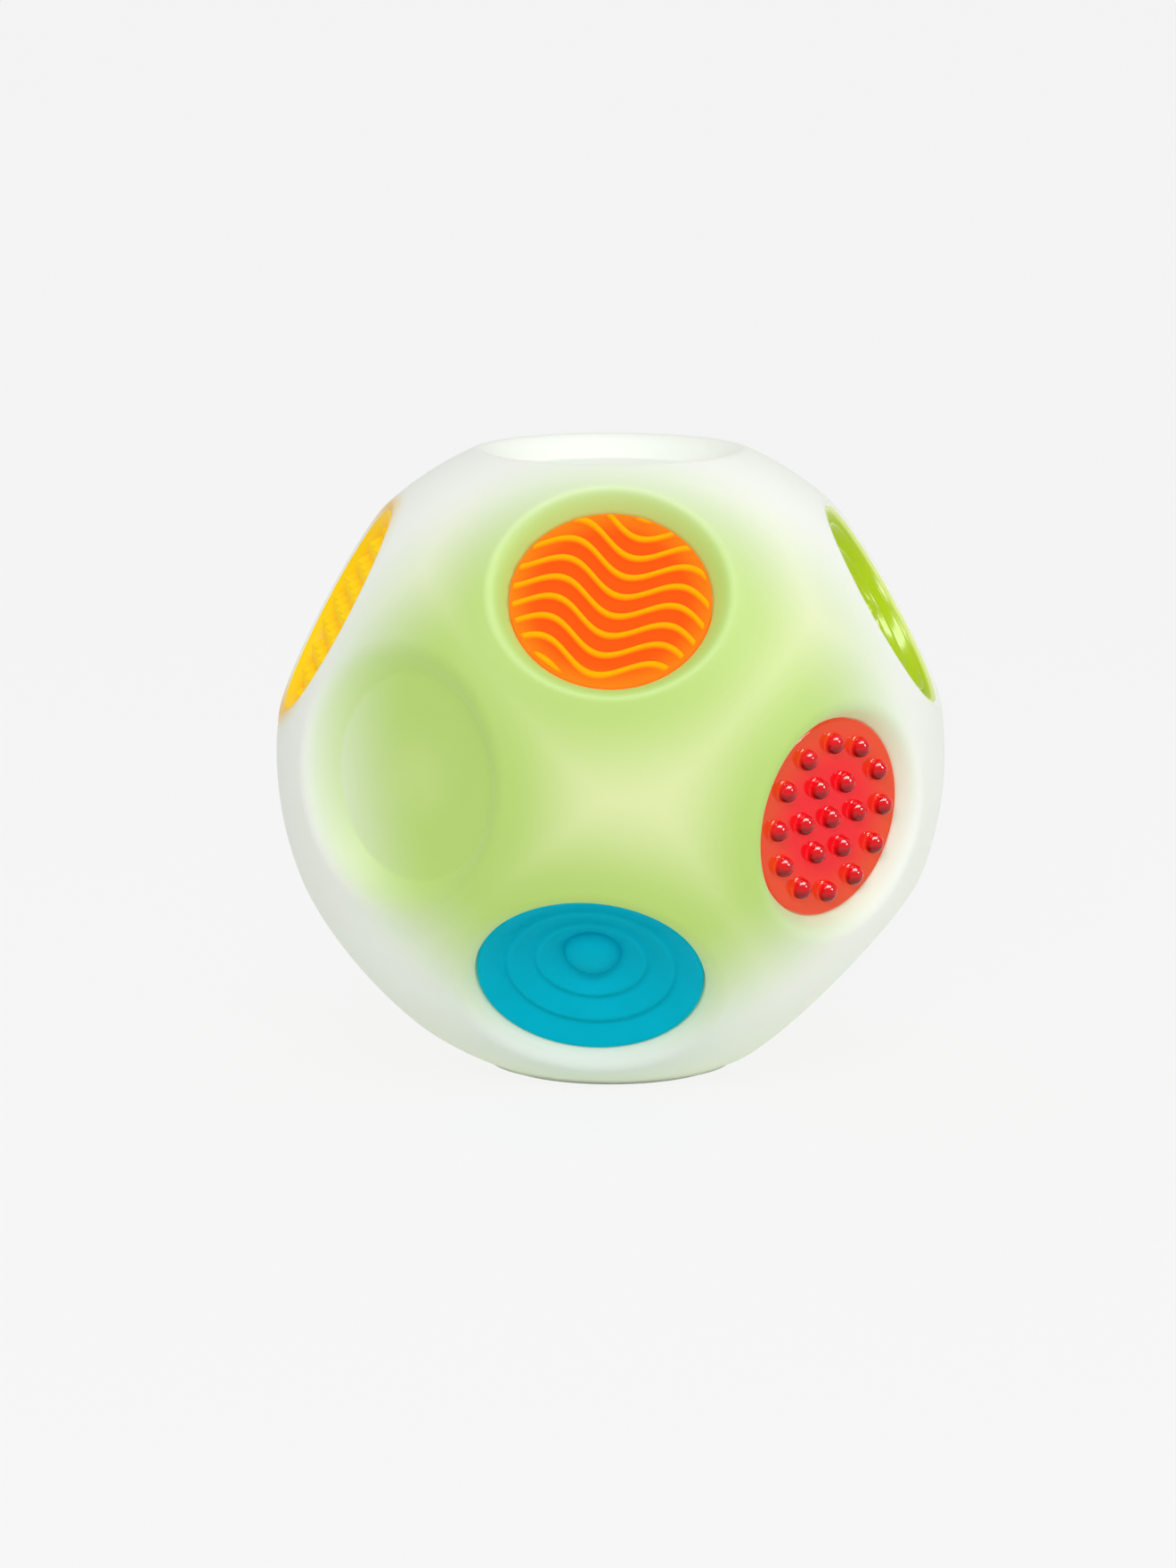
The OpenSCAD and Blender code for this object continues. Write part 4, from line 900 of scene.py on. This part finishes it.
# Metal pieces
# Zinc-plated screws, nickel-plated springs and contacts, and the cans of the cells.
def plated(name, colour, stain, gloss):
    """Plated metal, a little uneven in colour and gloss."""
    return moulded(name, colour, stain, gloss, (400.0, 6000.0), 0.08, metallic=1.0)


SCREW_STEEL = plated("screw steel", (0.62, 0.62, 0.60), (0.50, 0.50, 0.48), (0.25, 0.42))
finish_nodes(SCREW_STEEL, "cup_screws", "flange_screws", "door_screw", "board_screws")
SPRING_STEEL = plated("spring steel", (0.66, 0.66, 0.65), (0.56, 0.55, 0.53), (0.2, 0.34))
finish_nodes(SPRING_STEEL, "button_spring", "door_springs", "top_spring")
CONTACT_METAL = plated("contact metal", (0.72, 0.68, 0.58), (0.62, 0.57, 0.47), (0.22, 0.36))
finish_nodes(CONTACT_METAL, "door_contacts", "top_contacts", "return_strip")
CELL_CAN = plated("cell can", (0.30, 0.31, 0.33), (0.24, 0.25, 0.27), (0.3, 0.42))
finish_nodes(CELL_CAN, "cells")


def give_way(name, node, material, slot):
    """A copy of a soft construction piece, with its own mesh and finish, in place of the piece."""
    solid = frame["nodes"][node]
    data = solid.data.copy()
    data.materials.clear()
    piece = add_piece(name, data, material, slot, node)
    piece.matrix_world = solid.matrix_world.copy()
    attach(piece, "ball")
    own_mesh(piece)


give_way("button_spring_wire", "button_spring", SPRING_STEEL, "spring_steel")
give_way("contact_dome_soft", "contact_dome", GREY_RUBBER, "grey_rubber")

# Speaker
# Pressed steel basket, paper cone and a ferrite magnet, face down over the battery box.
SPEAKER_STEEL = plated("speaker steel", (0.20, 0.20, 0.20), (0.16, 0.16, 0.16), (0.35, 0.5))
finish_nodes(SPEAKER_STEEL, "speaker_frame")
SPEAKER_PAPER = moulded("speaker paper", (0.07, 0.06, 0.05), (0.11, 0.095, 0.08), (0.8, 0.95),
                        (300.0, 5000.0), 0.3)
finish_nodes(SPEAKER_PAPER, "speaker_cone")
MAGNET = moulded("magnet", (0.06, 0.06, 0.06), (0.10, 0.10, 0.10), (0.5, 0.7))
finish_nodes(MAGNET, "speaker_magnet")

# Boards and lamps
# Green boards, tinted lamps in a ring and the frosted dome that spreads their light.
BOARD_GREEN = moulded("board green", (0.02, 0.17, 0.06), (0.03, 0.22, 0.08), (0.25, 0.4),
                      (500.0, 4000.0))
finish_nodes(BOARD_GREEN, "main_board", "button_board")
LAMP_LENS = moulded("lamp lens", (0.45, 0.85, 0.30), (0.55, 0.9, 0.4), (0.08, 0.16),
                    glow=((0.5, 1.0, 0.3), 1.0))
finish_nodes(LAMP_LENS, "leds")
FROSTED_DOME = moulded("frosted dome", (0.82, 0.90, 0.74), (0.78, 0.88, 0.70), (0.5, 0.6),
                       glow=((0.6, 1.0, 0.4), 0.4))
finish_nodes(FROSTED_DOME, "light_diffuser")

# Studio
# A pale floor that keeps a faint shadow and isn't there from below, even light all round and three
# softboxes for the shading. A strip overhead and a round lamp at the right only make reflections.
PHOTO_W = 1320
PHOTO_H = 1760
BALL_X_PX = 685.5
BALL_Y_PX = 843.5
BALL_R_PX = 375
CAMERA_DISTANCE = 1.5
CAMERA_ELEVATION = math.radians(9.4)
SENSOR_H = 36
FLOOR_SIZE = 40
FLOOR_GAP = 0.0002
FLOOR_GREY = (0.86, 0.86, 0.86)
PAPER = (0.945, 0.945, 0.945)
SHADOW_SHARE = 0.08
SKY_LIGHT = 0.43

ball_middle = Vector((0, 0, BALL_Z))
camera_data = bpy.data.cameras.new("camera")
camera = bpy.data.objects.new("camera", camera_data)
bpy.context.scene.collection.objects.link(camera)
back = Vector((0, -math.cos(CAMERA_ELEVATION), math.sin(CAMERA_ELEVATION)))
camera.location = ball_middle + back * CAMERA_DISTANCE
camera.rotation_euler = back.to_track_quat("Z", "Y").to_euler()
camera_data.sensor_fit = "VERTICAL"
camera_data.sensor_height = SENSOR_H
focal_px = BALL_R_PX * math.sqrt(CAMERA_DISTANCE ** 2 - BALL_R ** 2) / BALL_R
camera_data.lens = focal_px * SENSOR_H / PHOTO_H
camera_data.shift_x = (PHOTO_W / 2 - BALL_X_PX) / PHOTO_H
camera_data.shift_y = (BALL_Y_PX - PHOTO_H / 2) / PHOTO_H
bpy.context.scene.camera = camera

floor_mesh = bmesh.new()
bmesh.ops.create_grid(floor_mesh, x_segments=4, y_segments=4, size=FLOOR_SIZE / 2)
floor_data = bpy.data.meshes.new("floor")
floor_mesh.to_mesh(floor_data)
floor_mesh.free()
floor = bpy.data.objects.new("floor", floor_data)
floor.location.z = -FLOOR_GAP
bpy.context.scene.collection.objects.link(floor)

# The paper is seen as it is, with a share of the lit floor in it for the shadow
floor_material, floor_tree, floor_shader = new_material("pale floor")
floor_shader.inputs["Base Color"].default_value = (*FLOOR_GREY, 1)
floor_shader.inputs["Roughness"].default_value = 1.0
floor_shader.inputs["Specular IOR Level"].default_value = 0.0
paper = add_node(floor_tree, "ShaderNodeEmission")
paper.inputs["Color"].default_value = (*PAPER, 1)
seen = add_node(floor_tree, "ShaderNodeLightPath")
seen_or_mirrored = add_node(floor_tree, "ShaderNodeMath", operation="MAXIMUM")
floor_tree.links.new(seen.outputs["Is Camera Ray"], seen_or_mirrored.inputs[0])
floor_tree.links.new(seen.outputs["Is Glossy Ray"], seen_or_mirrored.inputs[1])
share = add_node(floor_tree, "ShaderNodeMath", operation="MULTIPLY")
share.inputs[1].default_value = 1 - SHADOW_SHARE
floor_tree.links.new(seen_or_mirrored.outputs[0], share.inputs[0])
floor_mix = add_node(floor_tree, "ShaderNodeMixShader")
floor_tree.links.new(share.outputs[0], floor_mix.inputs[0])
floor_tree.links.new(floor_shader.outputs["BSDF"], floor_mix.inputs[1])
floor_tree.links.new(paper.outputs["Emission"], floor_mix.inputs[2])
underside = add_node(floor_tree, "ShaderNodeNewGeometry")
clear = add_node(floor_tree, "ShaderNodeBsdfTransparent")
from_below = add_node(floor_tree, "ShaderNodeMixShader")
floor_tree.links.new(underside.outputs["Backfacing"], from_below.inputs[0])
floor_tree.links.new(floor_mix.outputs[0], from_below.inputs[1])
floor_tree.links.new(clear.outputs["BSDF"], from_below.inputs[2])
floor_tree.links.new(from_below.outputs[0], floor_tree.nodes["Material Output"].inputs["Surface"])
floor_data.materials.append(floor_material)

world = bpy.data.worlds.new("studio")
bpy.context.scene.world = world
world.use_nodes = True
sky = world.node_tree.nodes["Background"]
sky.inputs["Color"].default_value = (1, 1, 1, 1)
sky.inputs["Strength"].default_value = SKY_LIGHT


def add_lamp(name, shape, size, place, power, mirrored):
    """An area lamp that looks at the ball. size is one length or two. A mirrored one only reflects."""
    data = bpy.data.lights.new(name, "AREA")
    data.shape = shape
    data.size = size[0]
    data.size_y = size[-1]
    data.energy = power
    lamp = bpy.data.objects.new(name, data)
    lamp.location = place
    lamp.rotation_euler = (Vector(place) - ball_middle).to_track_quat("Z", "Y").to_euler()
    lamp.visible_camera = False
    lamp.visible_diffuse = not mirrored
    lamp.visible_glossy = mirrored
    bpy.context.scene.collection.objects.link(lamp)


add_lamp("overhead softbox", "RECTANGLE", (0.9, 0.6), (0.0, -0.1, 1.1), 1.5, False)
add_lamp("front softbox", "RECTANGLE", (0.8, 0.3), (-0.1, -1.25, 0.8), 6.4, False)
add_lamp("right softbox", "RECTANGLE", (0.5, 0.5), (1.3, -0.4, 0.35), 3.0, False)
add_lamp("overhead strip", "RECTANGLE", (1.5, 0.5), (0.1, -0.45, 1.0), 52.0, True)
add_lamp("right lamp", "DISK", (0.3,), (0.95, -0.45, 0.5), 8.0, True)
bpy.context.scene.view_settings.view_transform = "Standard"
